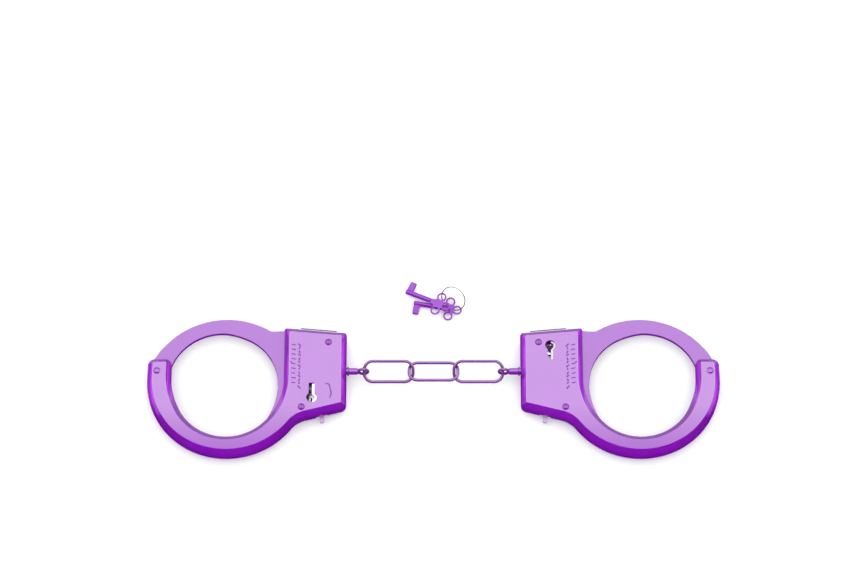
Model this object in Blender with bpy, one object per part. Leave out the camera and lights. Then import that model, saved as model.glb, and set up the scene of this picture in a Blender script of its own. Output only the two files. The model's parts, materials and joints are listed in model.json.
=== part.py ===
"""Toy handcuffs: two double-strand cuffs, a three-link chain on swivels and two keys on a ring.

Lengths below are in millimetres and are scaled to metres when each mesh is written.
X runs along the chain, Y across the cuffs, Z up from the table.
The left cuff is drawn first and the right cuff is its mirror image, apart from the lock inside.
"""
import math

import bmesh
import bpy
from mathutils import Matrix, Vector
from mathutils.geometry import tessellate_polygon

MM = 0.001

# --- cuff housing and frame ring ---
CUFF_HEIGHT = 10.6
MID = CUFF_HEIGHT / 2.0
SHEET = 0.9
SLOT_LOW = 3.9
SLOT_HIGH = CUFF_HEIGHT - SLOT_LOW
SEAM_GAP = 0.3
RING_X = -100.65
RING_Y = -5.7
RING_OUTER = 39.45
WRIST_X = -101.05
WRIST_Y = -8.9
WRIST_RADIUS = 25.9
BLEND_ANGLE = -48.0
JAW_SIDE_X = -73.3
CHAIN_SIDE_X = -42.7
TOP_LEFT_Y = 22.3
TOP_RIGHT_Y = 19.6
BOTTOM_RIGHT_Y = -20.2
BOTTOM_SLOPE = 14.3
ARM_TIP_Y = 5.8
ARM_LEFT_X = -139.95
ARM_RIGHT_X = -128.5
ARM_BEND_ANGLE = -157.0
ARM_BEND_TOP_Y = -4.0
SEAM_OPEN_ABOVE_Y = -14.0
BOTTOM_FILLET = 13.0

# --- ratchet jaw ---
HINGE_X = -135.2
HINGE_Y = -1.6
JAW_LOW = 4.2
JAW_HIGH = 6.4
JAW_EYE = 4.5
JAW_BORE = 1.85
TOOTH_TIP = 67.5
TOOTH_ROOT = 66.0
TOOTH_PITCH = 2.0
TOOTH_COUNT = 20
FIRST_TOOTH = -25.2

# --- rivets and pins ---
RIVET = 1.5
RIVET_TOP = 11.1
RIVET_HOLE = 1.85
SPACER = 2.6
PIN = 1.0
PIN_BORE = 1.35
UPPER_RIVET = (-51.5, 13.45)
LOWER_RIVET = (-64.3, -20.6)

# --- lock ---
PAWL_LOW = 2.2
PAWL_HIGH = 6.0
LEFT_CLEAR_ANGLE = 7.7
RIGHT_CLEAR_ANGLE = 10.5
LEVER_LOW = 6.3
LEVER_HIGH = 7.8
LEVER_PIVOT = (-54.5, -18.6)
NUB_END_Y = -26.1
NUB_LOW = 2.2
NUB_HIGH = 3.8
LEFT_PAWL_PIVOT = (-63.8, 8.5)
RIGHT_PAWL_PIVOT = (-63.8, -12.6)
LEFT_KEYHOLE = (-59.5, -15.6)
RIGHT_KEYHOLE = (-57.3, 11.9)
KEYHOLE_RADIUS = 2.5
KEYHOLE_SLOT = 2.7
KEYHOLE_REACH = 7.6
POST = 0.5

# --- swivels and chain ---
OUTER_LINK_TILT = 24.0
MIDDLE_LINK_TILT = -11.0
POST_RADIUS = 1.6
EYE_X = -34.45
EYE_MAJOR = 2.3
EYE_RIM = 0.75
EYE_TILT = -6.0
WIRE = 0.75
LINK_LENGTH = 23.9
LINK_WIDTH = 10.1
LINK_CORNER = 4.2
LINK_SPACING = 1.8

# --- keys ---
KEY_SHAFT = 1.2
KEY_BORE = 0.85
KEY_LENGTH = 17.8
KEY_PLATE = 0.7
LOBE_OFFSET = 3.9
LOBE_RADIUS = 2.35
LOBE_HOLE = 1.6
BIT_LENGTH = 3.1
BIT_REACH = 5.7
BIT_THICK = 1.3
TOP_KEY = (2.45, 36.96, 3.5, 154.6, 7.6)
LOW_KEY = (7.84, 35.0, 1.52, 169.5, 1.0)
KEY_RING = 6.3
KEY_WIRE = 0.27
KEY_RING_TILT = 53.0


def clear_scene():
    for thing in list(bpy.data.objects):
        bpy.data.objects.remove(thing, do_unlink=True)


def material(name, colour, roughness, metallic):
    made = bpy.data.materials.new(name)
    made.use_nodes = True
    shader = made.node_tree.nodes["Principled BSDF"]
    shader.inputs["Base Color"].default_value = (colour[0], colour[1], colour[2], 1.0)
    shader.inputs["Roughness"].default_value = roughness
    shader.inputs["Metallic"].default_value = metallic
    made.diffuse_color = (colour[0], colour[1], colour[2], 1.0)
    return made


LOOKS = {
    "shell": ((0.52, 0.20, 0.70), 0.28, 0.75),
    "jaw": ((0.50, 0.17, 0.68), 0.30, 0.75),
    "rivet": ((0.46, 0.18, 0.62), 0.30, 0.8),
    "chain": ((0.30, 0.10, 0.42), 0.28, 0.85),
    "key": ((0.36, 0.08, 0.55), 0.30, 0.8),
    "bright": ((0.66, 0.66, 0.68), 0.22, 1.0),
    "spring": ((0.48, 0.48, 0.50), 0.30, 1.0),
}


def unit(angle):
    return math.cos(math.radians(angle)), math.sin(math.radians(angle))


def arc(cx, cy, radius, start, stop, steps):
    """Points on an arc, both ends included."""
    points = []
    for i in range(steps + 1):
        c, s = unit(start + (stop - start) * i / steps)
        points.append((cx + radius * c, cy + radius * s))
    return points


def circle(cx, cy, radius, steps):
    return arc(cx, cy, radius, 0.0, 360.0, steps)[:-1]


def turn_point(point, centre, angle):
    c, s = unit(angle)
    x = point[0] - centre[0]
    y = point[1] - centre[1]
    return centre[0] + x * c - y * s, centre[1] + x * s + y * c


def make_object(name, points, faces, look, origin=(0.0, 0.0, 0.0), mirror=False, smooth=35.0):
    """Write one mesh object; mirror turns a left-hand piece into a right-hand one."""
    sign = -1.0 if mirror else 1.0
    home = Vector((origin[0] * sign, origin[1], origin[2])) * MM
    placed = [Vector((p[0] * sign, p[1], p[2])) * MM - home for p in points]
    mesh = bpy.data.meshes.new(name)
    mesh.from_pydata([tuple(p) for p in placed], [], faces)
    work = bmesh.new()
    work.from_mesh(mesh)
    bmesh.ops.recalc_face_normals(work, faces=work.faces[:])
    if work.calc_volume(signed=True) < 0.0:
        bmesh.ops.reverse_faces(work, faces=work.faces[:])
    work.to_mesh(mesh)
    work.free()
    mesh.validate()
    made = bpy.data.objects.new(name, mesh)
    made.location = home
    bpy.context.scene.collection.objects.link(made)
    colour, roughness, metallic = LOOKS[look]
    mesh.materials.append(material(name, colour, roughness, metallic))
    mesh.shade_smooth()
    mesh.set_sharp_from_angle(angle=math.radians(smooth))
    return made


def cap(points, loops, upward):
    """Triangles that fill an outer loop and its holes; loops are lists of point numbers."""
    flat = [[Vector((points[i][0], points[i][1], 0.0)) for i in loop] for loop in loops]
    numbers = [i for loop in loops for i in loop]
    faces = []
    for triple in tessellate_polygon(flat):
        a, b, c = [numbers[i] for i in triple]
        ax, ay = points[a][0], points[a][1]
        cross = (points[b][0] - ax) * (points[c][1] - ay) - (points[b][1] - ay) * (points[c][0] - ax)
        if (cross > 0.0) == upward:
            faces.append((a, b, c))
        else:
            faces.append((a, c, b))
    return faces


def wall(lower, upper, outward):
    """Quads between two loops of the same length; outward is True for a loop seen from outside."""
    count = len(lower)
    faces = []
    for i in range(count):
        j = (i + 1) % count
        if outward:
            faces.append((lower[i], lower[j], upper[j], upper[i]))
        else:
            faces.append((lower[j], lower[i], upper[i], upper[j]))
    return faces


def area(loop):
    total = 0.0
    for i, p in enumerate(loop):
        q = loop[(i + 1) % len(loop)]
        total += p[0] * q[1] - q[0] * p[1]
    return total / 2.0


def prism(outline, holes, low, high):
    """A flat piece with an outer outline and holes, as points and faces."""
    loops = [outline if area(outline) > 0.0 else outline[::-1]]
    loops += [hole if area(hole) > 0.0 else hole[::-1] for hole in holes]
    points = []
    lower = []
    upper = []
    faces = []
    for number, loop in enumerate(loops):
        start = len(points)
        points += [(p[0], p[1], low) for p in loop]
        lower.append(list(range(start, start + len(loop))))
        start = len(points)
        points += [(p[0], p[1], high) for p in loop]
        upper.append(list(range(start, start + len(loop))))
        faces += wall(lower[-1], upper[-1], number == 0)
    faces += cap(points, upper, True)
    faces += cap(points, lower, False)
    return points, faces


def lathe(profile, centre, steps):
    """Turn (radius, height) pairs about a vertical axis; the ends of the profile are on the axis."""
    points = [(centre[0], centre[1], profile[0][1])]
    rings = []
    for radius, height in profile[1:-1]:
        start = len(points)
        points += [(p[0], p[1], height) for p in circle(centre[0], centre[1], radius, steps)]
        rings.append(list(range(start, start + steps)))
    last = len(points)
    points.append((centre[0], centre[1], profile[-1][1]))
    faces = []
    for i in range(steps):
        j = (i + 1) % steps
        faces.append((0, rings[0][j], rings[0][i]))
        faces.append((last, rings[-1][i], rings[-1][j]))
    for lower, upper in zip(rings, rings[1:]):
        faces += wall(lower, upper, True)
    return points, faces


def closed_tube(path, radius, sides, up):
    """A round wire along a closed flat path; up is the normal of the path's plane."""
    points = []
    count = len(path)
    for i in range(count):
        before = Vector(path[i - 1])
        after = Vector(path[(i + 1) % count])
        along = (after - before).normalized()
        across = along.cross(up).normalized()
        for k in range(sides):
            c, s = unit(360.0 * k / sides)
            points.append(tuple(Vector(path[i]) + across * (radius * c) + up * (radius * s)))
    faces = []
    for i in range(count):
        j = (i + 1) % count
        for k in range(sides):
            m = (k + 1) % sides
            faces.append((i * sides + k, i * sides + m, j * sides + m, j * sides + k))
    return points, faces


def moved(points, matrix):
    return [tuple(matrix @ Vector(p)) for p in points]


def fused(base, others):
    """Join closed meshes into one closed body with exact unions."""
    for other in others:
        step = base.modifiers.new("union", "BOOLEAN")
        step.operation = "UNION"
        step.solver = "EXACT"
        step.object = other
    bpy.context.view_layer.update()
    shown = base.evaluated_get(bpy.context.evaluated_depsgraph_get())
    mesh = bpy.data.meshes.new_from_object(shown)
    old = base.data
    base.modifiers.clear()
    name = old.name
    base.data = mesh
    bpy.data.meshes.remove(old)
    mesh.name = name
    for other in others:
        bpy.data.objects.remove(other, do_unlink=True)
    mesh.materials.clear()
    mesh.materials.append(bpy.data.materials[base.name])
    for face in mesh.polygons:
        face.material_index = 0
    mesh.shade_smooth()
    mesh.set_sharp_from_angle(angle=math.radians(35.0))
    return base


# ---------------------------------------------------------------- cheek plates

class Rim:
    """One point of the base outline with its outward normal and how far the wall reaches."""

    def __init__(self, x, y, nx, ny, reach, centre=None, radius=0.0, mitre=None):
        self.x = x
        self.y = y
        self.nx = nx
        self.ny = ny
        self.reach = reach
        self.centre = centre
        self.radius = radius
        self.mitre = mitre

    def inset(self, depth):
        if self.centre is not None and depth > self.radius:
            extra = depth - self.radius
            return self.centre[0] - self.mitre[0] * extra, self.centre[1] - self.mitre[1] * extra
        return self.x - self.nx * depth, self.y - self.ny * depth


def corner(before, at, after, radius, steps, reach):
    """A convex rounded corner of the outline, walked anticlockwise."""
    first = Vector((at[0] - before[0], at[1] - before[1])).normalized()
    second = Vector((after[0] - at[0], after[1] - at[1])).normalized()
    start = math.degrees(math.atan2(-first.x, first.y))
    stop = math.degrees(math.atan2(-second.x, second.y))
    while stop < start:
        stop += 360.0
    half = math.radians((180.0 - (stop - start)) / 2.0)
    normal_first = (first.y, -first.x)
    normal_second = (second.y, -second.x)
    middle = Vector((normal_first[0] + normal_second[0], normal_first[1] + normal_second[1])).normalized()
    centre = (at[0] - middle.x * radius / math.sin(half), at[1] - middle.y * radius / math.sin(half))
    mitre = (middle.x / math.sin(half), middle.y / math.sin(half))
    begin = math.degrees(math.atan2(normal_first[1], normal_first[0]))
    end = math.degrees(math.atan2(normal_second[1], normal_second[0]))
    while end < begin:
        end += 360.0
    rims = []
    for i in range(steps + 1):
        nx, ny = unit(begin + (end - begin) * i / steps)
        spot = (centre[0] + nx * radius, centre[1] + ny * radius)
        rims.append(Rim(spot[0], spot[1], nx, ny, reach, centre, radius, mitre))
    return rims


def bottom_line_y(x):
    return BOTTOM_RIGHT_Y - (CHAIN_SIDE_X - x) * math.tan(math.radians(BOTTOM_SLOPE))


def top_line_y(x):
    share = (x - JAW_SIDE_X) / (CHAIN_SIDE_X - JAW_SIDE_X)
    return TOP_LEFT_Y + (TOP_RIGHT_Y - TOP_LEFT_Y) * share


def arm_bend(steps, reach):
    """Smooth bend from the round wrist edge to the straight inner edge of the arm."""
    c, s = unit(ARM_BEND_ANGLE)
    start = Vector((WRIST_X + WRIST_RADIUS * c, WRIST_Y + WRIST_RADIUS * s))
    stop = Vector((ARM_RIGHT_X, ARM_BEND_TOP_Y))
    along = (ARM_RIGHT_X - start.x) / s
    handle = Vector((ARM_RIGHT_X, start.y - along * c))
    rims = []
    for i in range(1, steps + 1):
        t = i / steps
        spot = start * (1 - t) ** 2 + handle * 2 * t * (1 - t) + stop * t * t
        way = ((handle - start) * (1 - t) + (stop - handle) * t).normalized()
        rims.append(Rim(spot.x, spot.y, way.y, -way.x, reach))
    return rims


# how far the wall reaches past the lip of the jaw's slot: not at all, or down to the seam
OPEN = 0.0
CLOSED = MID - SEAM_GAP / 2.0 - SLOT_LOW

# outside and inside of the pressed wall, as (inset, height) pairs from the lip to the flat face
OUTER_WALL = ((0.0, 7.0), (0.75, 8.55), (1.9, 9.85), (2.35, 10.42), (3.0, CUFF_HEIGHT))
INNER_WALL = ((0.95, 7.0), (1.65, 8.35), (3.3, CUFF_HEIGHT - SHEET))


def wall_inset(rows, height):
    """Inset of the wall at a height, from its (inset, height) pairs."""
    if height <= rows[0][1]:
        return rows[0][0]
    for low, high in zip(rows, rows[1:]):
        if height <= high[1]:
            return low[0] + (high[0] - low[0]) * (height - low[1]) / (high[1] - low[1])
    return rows[-1][0]


def base_outline(front):
    """The widest outline of a cheek plate, anticlockwise, for the left cuff."""
    rims = []
    step = 0.03
    tip_left = (ARM_LEFT_X, ARM_TIP_Y)
    tip_right = (ARM_RIGHT_X, ARM_TIP_Y)
    ring_left = (RING_X - RING_OUTER, RING_Y)
    rims += corner(tip_right, tip_left, ring_left, 3.0, 5, OPEN)
    # outer ring, from the arm round the south side
    seam_angle = 180.0 + math.degrees(math.asin((RING_Y - SEAM_OPEN_ABOVE_Y) / RING_OUTER))
    for angle in (180.0, (180.0 + seam_angle) / 2.0, seam_angle):
        nx, ny = unit(angle)
        rims.append(Rim(RING_X + nx * RING_OUTER, RING_Y + ny * RING_OUTER, nx, ny, OPEN))
    fillet = BOTTOM_FILLET
    down = Vector((math.sin(math.radians(BOTTOM_SLOPE)), -math.cos(math.radians(BOTTOM_SLOPE))))
    anchor = Vector((CHAIN_SIDE_X, BOTTOM_RIGHT_Y)) + down * fillet
    along = Vector((-math.cos(math.radians(BOTTOM_SLOPE)), -math.sin(math.radians(BOTTOM_SLOPE))))
    gap = anchor - Vector((RING_X, RING_Y))
    half_b = gap.dot(along)
    root = half_b * half_b - (gap.dot(gap) - (RING_OUTER + fillet) ** 2)
    centre = anchor + along * (-half_b - math.sqrt(root))
    join = math.degrees(math.atan2(centre.y - RING_Y, centre.x - RING_X)) + 360.0
    count = 22
    for i in range(count + 1):
        angle = seam_angle + 0.05 + (join - seam_angle - 0.05) * i / count
        nx, ny = unit(angle)
        rims.append(Rim(RING_X + nx * RING_OUTER, RING_Y + ny * RING_OUTER, nx, ny, CLOSED))
    # concave fillet between the ring and the housing
    start = join - 180.0
    stop = math.degrees(math.atan2(-down.y, -down.x))
    for i in range(1, 5):
        nx, ny = unit(start + (stop - start) * i / 4)
        rims.append(Rim(centre.x + nx * fillet, centre.y + ny * fillet, -nx, -ny, CLOSED))
    # south wall of the housing; the rear plate has the notch for the release lever
    notch = 2.7
    cut = CLOSED if front else -2.3
    for x, reach in ((LEVER_PIVOT[0] - notch - step, CLOSED), (LEVER_PIVOT[0] - notch, cut),
                     (LEVER_PIVOT[0] + notch, cut), (LEVER_PIVOT[0] + notch + step, CLOSED)):
        rims.append(Rim(x, bottom_line_y(x), down.x, down.y, reach))
    bottom_start = (-60.0, bottom_line_y(-60.0))
    bottom_right = (CHAIN_SIDE_X, BOTTOM_RIGHT_Y)
    top_right = (CHAIN_SIDE_X, TOP_RIGHT_Y)
    top_left = (JAW_SIDE_X, TOP_LEFT_Y)
    rims += corner(bottom_start, bottom_right, top_right, 3.2, 5, CLOSED)
    # half-round notch where the swivel passes through the chain side
    notch = POST_RADIUS + 0.35
    rims.append(Rim(CHAIN_SIDE_X, -notch - step, 1.0, 0.0, CLOSED))
    for i in range(7):
        c, s = unit(180.0 - 30.0 * i)
        height = max(MID + notch * s, MID + SEAM_GAP / 2.0)
        reach = SLOT_HIGH - height
        rims.append(Rim(CHAIN_SIDE_X, notch * c, 1.0, 0.0, reach))
    rims.append(Rim(CHAIN_SIDE_X, notch + step, 1.0, 0.0, CLOSED))
    rims += corner(bottom_right, top_right, top_left, 1.4, 3, CLOSED)
    # north wall with a long slot, then the open mouth for the jaw
    north = Vector((top_left[1] - top_right[1], -(top_left[0] - top_right[0]))).normalized()
    for x, reach in ((-47.3, CLOSED), (-47.3 - step, -0.9), (-65.4, -0.9), (-65.4 - step, CLOSED),
                     (-70.4, CLOSED), (-70.4 - step, OPEN)):
        rims.append(Rim(x, top_line_y(x), north.x, north.y, reach))
    # the wrist side stays open so the jaw can pass: housing wall, wide bend, round wrist edge
    drop = math.cos(math.radians(BLEND_ANGLE))
    shift = (JAW_SIDE_X - WRIST_X - WRIST_RADIUS) / (1.0 - drop)
    big = WRIST_RADIUS + shift
    c, s = unit(BLEND_ANGLE)
    big_x = WRIST_X - shift * c
    big_y = WRIST_Y - shift * s
    rims += corner(top_right, top_left, (JAW_SIDE_X, big_y), 1.2, 3, OPEN)
    for i in range(9):
        nx, ny = unit(BLEND_ANGLE * i / 8)
        rims.append(Rim(big_x + nx * big, big_y + ny * big, -nx, -ny, OPEN))
    for i in range(1, 20):
        nx, ny = unit(BLEND_ANGLE + (ARM_BEND_ANGLE - BLEND_ANGLE) * i / 19)
        rims.append(Rim(WRIST_X + nx * WRIST_RADIUS, WRIST_Y + ny * WRIST_RADIUS, -nx, -ny, OPEN))
    rims += arm_bend(6, OPEN)
    rims += corner((ARM_RIGHT_X, ARM_BEND_TOP_Y), tip_right, tip_left, 2.3, 4, OPEN)
    return rims


def keyhole(spot, side):
    """Round hole with a straight slot; side is +1 for a slot that runs up, -1 for down."""
    half = KEYHOLE_SLOT / 2.0
    open_angle = math.degrees(math.asin(half / KEYHOLE_RADIUS))
    loop = arc(spot[0], spot[1], KEYHOLE_RADIUS, 90.0 + open_angle, 450.0 - open_angle, 14)
    loop += [(spot[0] + half, spot[1] + KEYHOLE_REACH), (spot[0] - half, spot[1] + KEYHOLE_REACH)]
    if side < 0:
        loop = [(p[0], 2.0 * spot[1] - p[1]) for p in loop]
    return loop


def cheek_plate(name, front, mirror, keyhole_spot, side):
    """Front or rear plate: a pressed tray whose wall has two slopes."""
    rims = base_outline(front)

    def row(rows, level):
        """One loop round the plate: on the rim where level is None, and never below the rim."""
        loop = []
        for rim in rims:
            low = SLOT_HIGH - rim.reach
            height = low if level is None else max(level, low + 0.15)
            loop.append(rim.inset(wall_inset(rows, height)) + (height,))
        return loop

    outside = [None] + [height for inset, height in OUTER_WALL]
    inside = [height for inset, height in INNER_WALL[::-1]] + [None]
    profile = [row(OUTER_WALL, level) for level in outside] + [row(INNER_WALL, level) for level in inside]
    points = []
    loops = []
    for ring in profile:
        start = len(points)
        points += ring
        loops.append(list(range(start, start + len(ring))))
    top = len(outside) - 1
    faces = wall(loops[-1], loops[0], True)
    for number in range(len(loops) - 1):
        if number < top:
            faces += wall(loops[number], loops[number + 1], True)
        elif number > top:
            faces += wall(loops[number], loops[number + 1], False)
    holes = [circle(HINGE_X, HINGE_Y, RIVET_HOLE, 12),
             circle(UPPER_RIVET[0], UPPER_RIVET[1], RIVET_HOLE, 12),
             circle(LOWER_RIVET[0], LOWER_RIVET[1], RIVET_HOLE, 12)]
    if keyhole_spot is not None:
        holes.append(keyhole(keyhole_spot, side))
    tops = [loops[top]]
    bottoms = [loops[top + 1]]
    for hole in holes:
        hole = hole if area(hole) > 0.0 else hole[::-1]
        start = len(points)
        points += [(p[0], p[1], CUFF_HEIGHT) for p in hole]
        tops.append(list(range(start, start + len(hole))))
        start = len(points)
        points += [(p[0], p[1], CUFF_HEIGHT - SHEET) for p in hole]
        bottoms.append(list(range(start, start + len(hole))))
        faces += wall(bottoms[-1], tops[-1], False)
    faces += cap(points, tops, True)
    faces += cap(points, bottoms, False)
    if not front:
        points = [(p[0], p[1], CUFF_HEIGHT - p[2]) for p in points]
        faces = [tuple(reversed(face)) for face in faces]
    points, faces = welded(points, faces)
    return make_object(name, points, faces, "shell", mirror=mirror, smooth=30.0)


def welded(points, faces):
    """Merge points that coincide and drop the corners this removes."""
    seen = {}
    kept = []
    number = []
    for p in points:
        key = (round(p[0], 5), round(p[1], 5), round(p[2], 5))
        if key not in seen:
            seen[key] = len(kept)
            kept.append(p)
        number.append(seen[key])
    clean = []
    for face in faces:
        ring = []
        for i in face:
            if not ring or ring[-1] != number[i]:
                ring.append(number[i])
        if ring[0] == ring[-1]:
            ring.pop()
        if len(set(ring)) >= 3:
            clean.append(tuple(ring))
    return kept, clean


# ---------------------------------------------------------------- jaw

def jaw_inner_edge(steps):
    """Inner edge of the shut jaw: a round top that tightens a little towards the housing."""
    points = []
    for i in range(steps + 1):
        angle = 172.0 - 172.0 * i / steps
        share = min(1.0, max(0.0, (88.0 - angle) / 22.0))
        c, s = unit(angle)
        radius = 26.6 - 1.0 * share
        points.append((-103.5 + 1.6 * share + radius * c, -7.0 + 0.1 * share + radius * s))
    return points


def jaw_outline():
    """Outline of the ratchet jaw when it is shut, left cuff."""
    points = jaw_inner_edge(27)
    points += arc(-113.45, -6.4, 37.4, -3.5, -36.5, 8)
    # end of the tail
    points += [(-82.6, -31.4), (-79.8, -33.0), (-76.8, -31.2)]
    # ratchet teeth on an arc about the hinge
    for k in range(TOOTH_COUNT):
        angle = FIRST_TOOTH + TOOTH_PITCH * k
        for radius, at in ((TOOTH_ROOT, angle - TOOTH_PITCH + 0.14), (TOOTH_TIP, angle)):
            c, s = unit(at)
            points.append((HINGE_X + radius * c, HINGE_Y + radius * s))
    last = FIRST_TOOTH + TOOTH_PITCH * (TOOTH_COUNT - 1)
    for radius, at in ((TOOTH_ROOT, last + 0.14), (TOOTH_ROOT, 17.0), (TOOTH_ROOT + 0.7, 19.0)):
        c, s = unit(at)
        points.append((HINGE_X + radius * c, HINGE_Y + radius * s))
    # shoulder above the housing, then the outer edge back to the hinge
    points += [(-73.4, 21.1), (-76.6, 20.8), (-79.0, 20.7), (-80.6, 20.9), (-82.0, 21.4)]
    points += arc(-101.5, -12.9, 39.95, 60.0, 139.0, 14)
    points += [(-133.6, 11.2), (-135.4, 8.6), (-137.3, 5.4)]
    points += arc(HINGE_X, HINGE_Y, JAW_EYE, 160.0, 330.0, 8)
    return points


def make_jaw(name, mirror):
    bore = circle(HINGE_X, HINGE_Y, JAW_BORE, 16)
    points, faces = prism(jaw_outline(), [bore], JAW_LOW, JAW_HIGH)
    return make_object(name, points, faces, "jaw", (HINGE_X, HINGE_Y, MID), mirror, 32.0)


# ---------------------------------------------------------------- rivets and pins

def make_rivet(name, spot, mirror, middle, taper_ends):
    """Shouldered rivet: middle is the radius between the plates at jaw level."""
    low = SHEET + 0.3
    high = CUFF_HEIGHT - SHEET - 0.3
    profile = [(0.0, 0.08), (RIVET - 0.25, 0.08), (RIVET, 0.3), (RIVET, low)]
    if taper_ends:
        taper = RIVET + 0.3
        profile += [(taper, low), (SPACER, SLOT_LOW - 0.9), (SPACER, SLOT_LOW)]
        if middle < SPACER:
            profile += [(middle, SLOT_LOW), (middle, SLOT_HIGH)]
        profile += [(SPACER, SLOT_HIGH), (SPACER, SLOT_HIGH + 0.9), (taper, high)]
    else:
        profile += [(SPACER, low), (SPACER, high)]
    profile += [(RIVET, high), (RIVET, RIVET_TOP - 0.45), (RIVET - 0.4, RIVET_TOP - 0.12), (0.0, RIVET_TOP)]
    points, faces = lathe(profile, spot, 16)
    return make_object(name, points, faces, "rivet", (spot[0], spot[1], MID), mirror, 40.0)


def make_pin(name, spot, mirror, radius):
    """Plain pin with a head at each end, held between the two plates."""
    low = SHEET + 0.3
    high = CUFF_HEIGHT - SHEET - 0.3
    profile = [(0.0, low), (radius + 0.4, low), (radius + 0.4, low + 0.6), (radius, low + 0.6)]
    profile += [(radius, high - 0.6), (radius + 0.4, high - 0.6), (radius + 0.4, high), (0.0, high)]
    points, faces = lathe(profile, spot, 12)
    return make_object(name, points, faces, "spring", (spot[0], spot[1], MID), mirror, 40.0)


def make_key_post(name, spot, mirror):
    """Post that the key's hollow shaft slides over, on a wide foot."""
    profile = [(0.0, 1.2), (1.7, 1.2), (1.7, 2.0), (POST, 2.0), (POST, 10.0), (POST - 0.2, 10.3), (0.0, 10.3)]
    points, faces = lathe(profile, spot, 12)
    return make_object(name, points, faces, "bright", (spot[0], spot[1], MID), mirror, 40.0)


# ---------------------------------------------------------------- lock

def engaged_teeth(pivot, first):
    """Three pawl teeth that sit in the gaps of the shut jaw, then swing clear about the pivot."""
    points = []
    clear = 0.35
    for k in range(3):
        angle = first + TOOTH_PITCH * k
        for radius, at in ((TOOTH_TIP + clear, angle + 0.66), (TOOTH_ROOT + clear, angle + 0.7),
                           (TOOTH_TIP + clear - 0.1, angle + TOOTH_PITCH + 0.3)):
            c, s = unit(at)
            points.append((HINGE_X + radius * c, HINGE_Y + radius * s))
    turn = LEFT_CLEAR_ANGLE if pivot[1] > 0.0 else -RIGHT_CLEAR_ANGLE
    return [turn_point(p, pivot, turn) for p in points]


def make_left_pawl(name, mirror):
    pivot = LEFT_PAWL_PIVOT
    points = engaged_teeth(pivot, -7.2)
    points += [(-66.6, 1.6)]
    points += arc(pivot[0], pivot[1], 2.6, 200.0, -20.0, 8)
    points += [(-61.3, 1.0), (-60.9, -4.0), (-58.2, -6.6), (-55.0, -8.4), (-54.6, -12.2), (-57.3, -12.4)]
    points += [(-57.6, -9.5), (-63.6, -9.3)]
    body, faces = prism(points, [circle(pivot[0], pivot[1], PIN_BORE, 12)], PAWL_LOW, PAWL_HIGH)
    made = make_object(name, body, faces, "spring", (pivot[0], pivot[1], MID), mirror)
    peg, faces = prism(circle(-56.7, -10.3, 0.7, 10), [], PAWL_HIGH - 0.5, LEVER_HIGH + 0.1)
    return fused(made, [make_object(name + "_peg", peg, faces, "spring", mirror=mirror)])


def make_right_pawl(name, mirror):
    pivot = RIGHT_PAWL_PIVOT
    points = engaged_teeth(pivot, -3.2)
    points += [(-64.0, 5.6), (-60.0, 5.7), (-55.3, 5.7), (-55.2, 8.0), (-52.4, 8.0), (-52.3, 5.0)]
    points += [(-58.0, 1.6), (-61.0, -2.0), (-61.2, -8.0)]
    points += arc(pivot[0], pivot[1], 2.6, 20.0, -20.0, 2)
    points += [(-58.2, -13.4), (-57.4, -14.6), (-57.9, -16.4), (-59.6, -16.4), (-61.8, -14.7)]
    points += arc(pivot[0], pivot[1], 2.6, -75.0, -190.0, 5)
    points += [(-66.6, -7.6)]
    body, faces = prism(points, [circle(pivot[0], pivot[1], PIN_BORE, 12)], PAWL_LOW, PAWL_HIGH)
    made = make_object(name, body, faces, "spring", (pivot[0], pivot[1], MID), mirror)
    peg, faces = prism(circle(-58.9, -15.3, 0.7, 10), [], PAWL_HIGH - 0.5, LEVER_HIGH + 0.1)
    return fused(made, [make_object(name + "_peg", peg, faces, "spring", mirror=mirror)])


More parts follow.
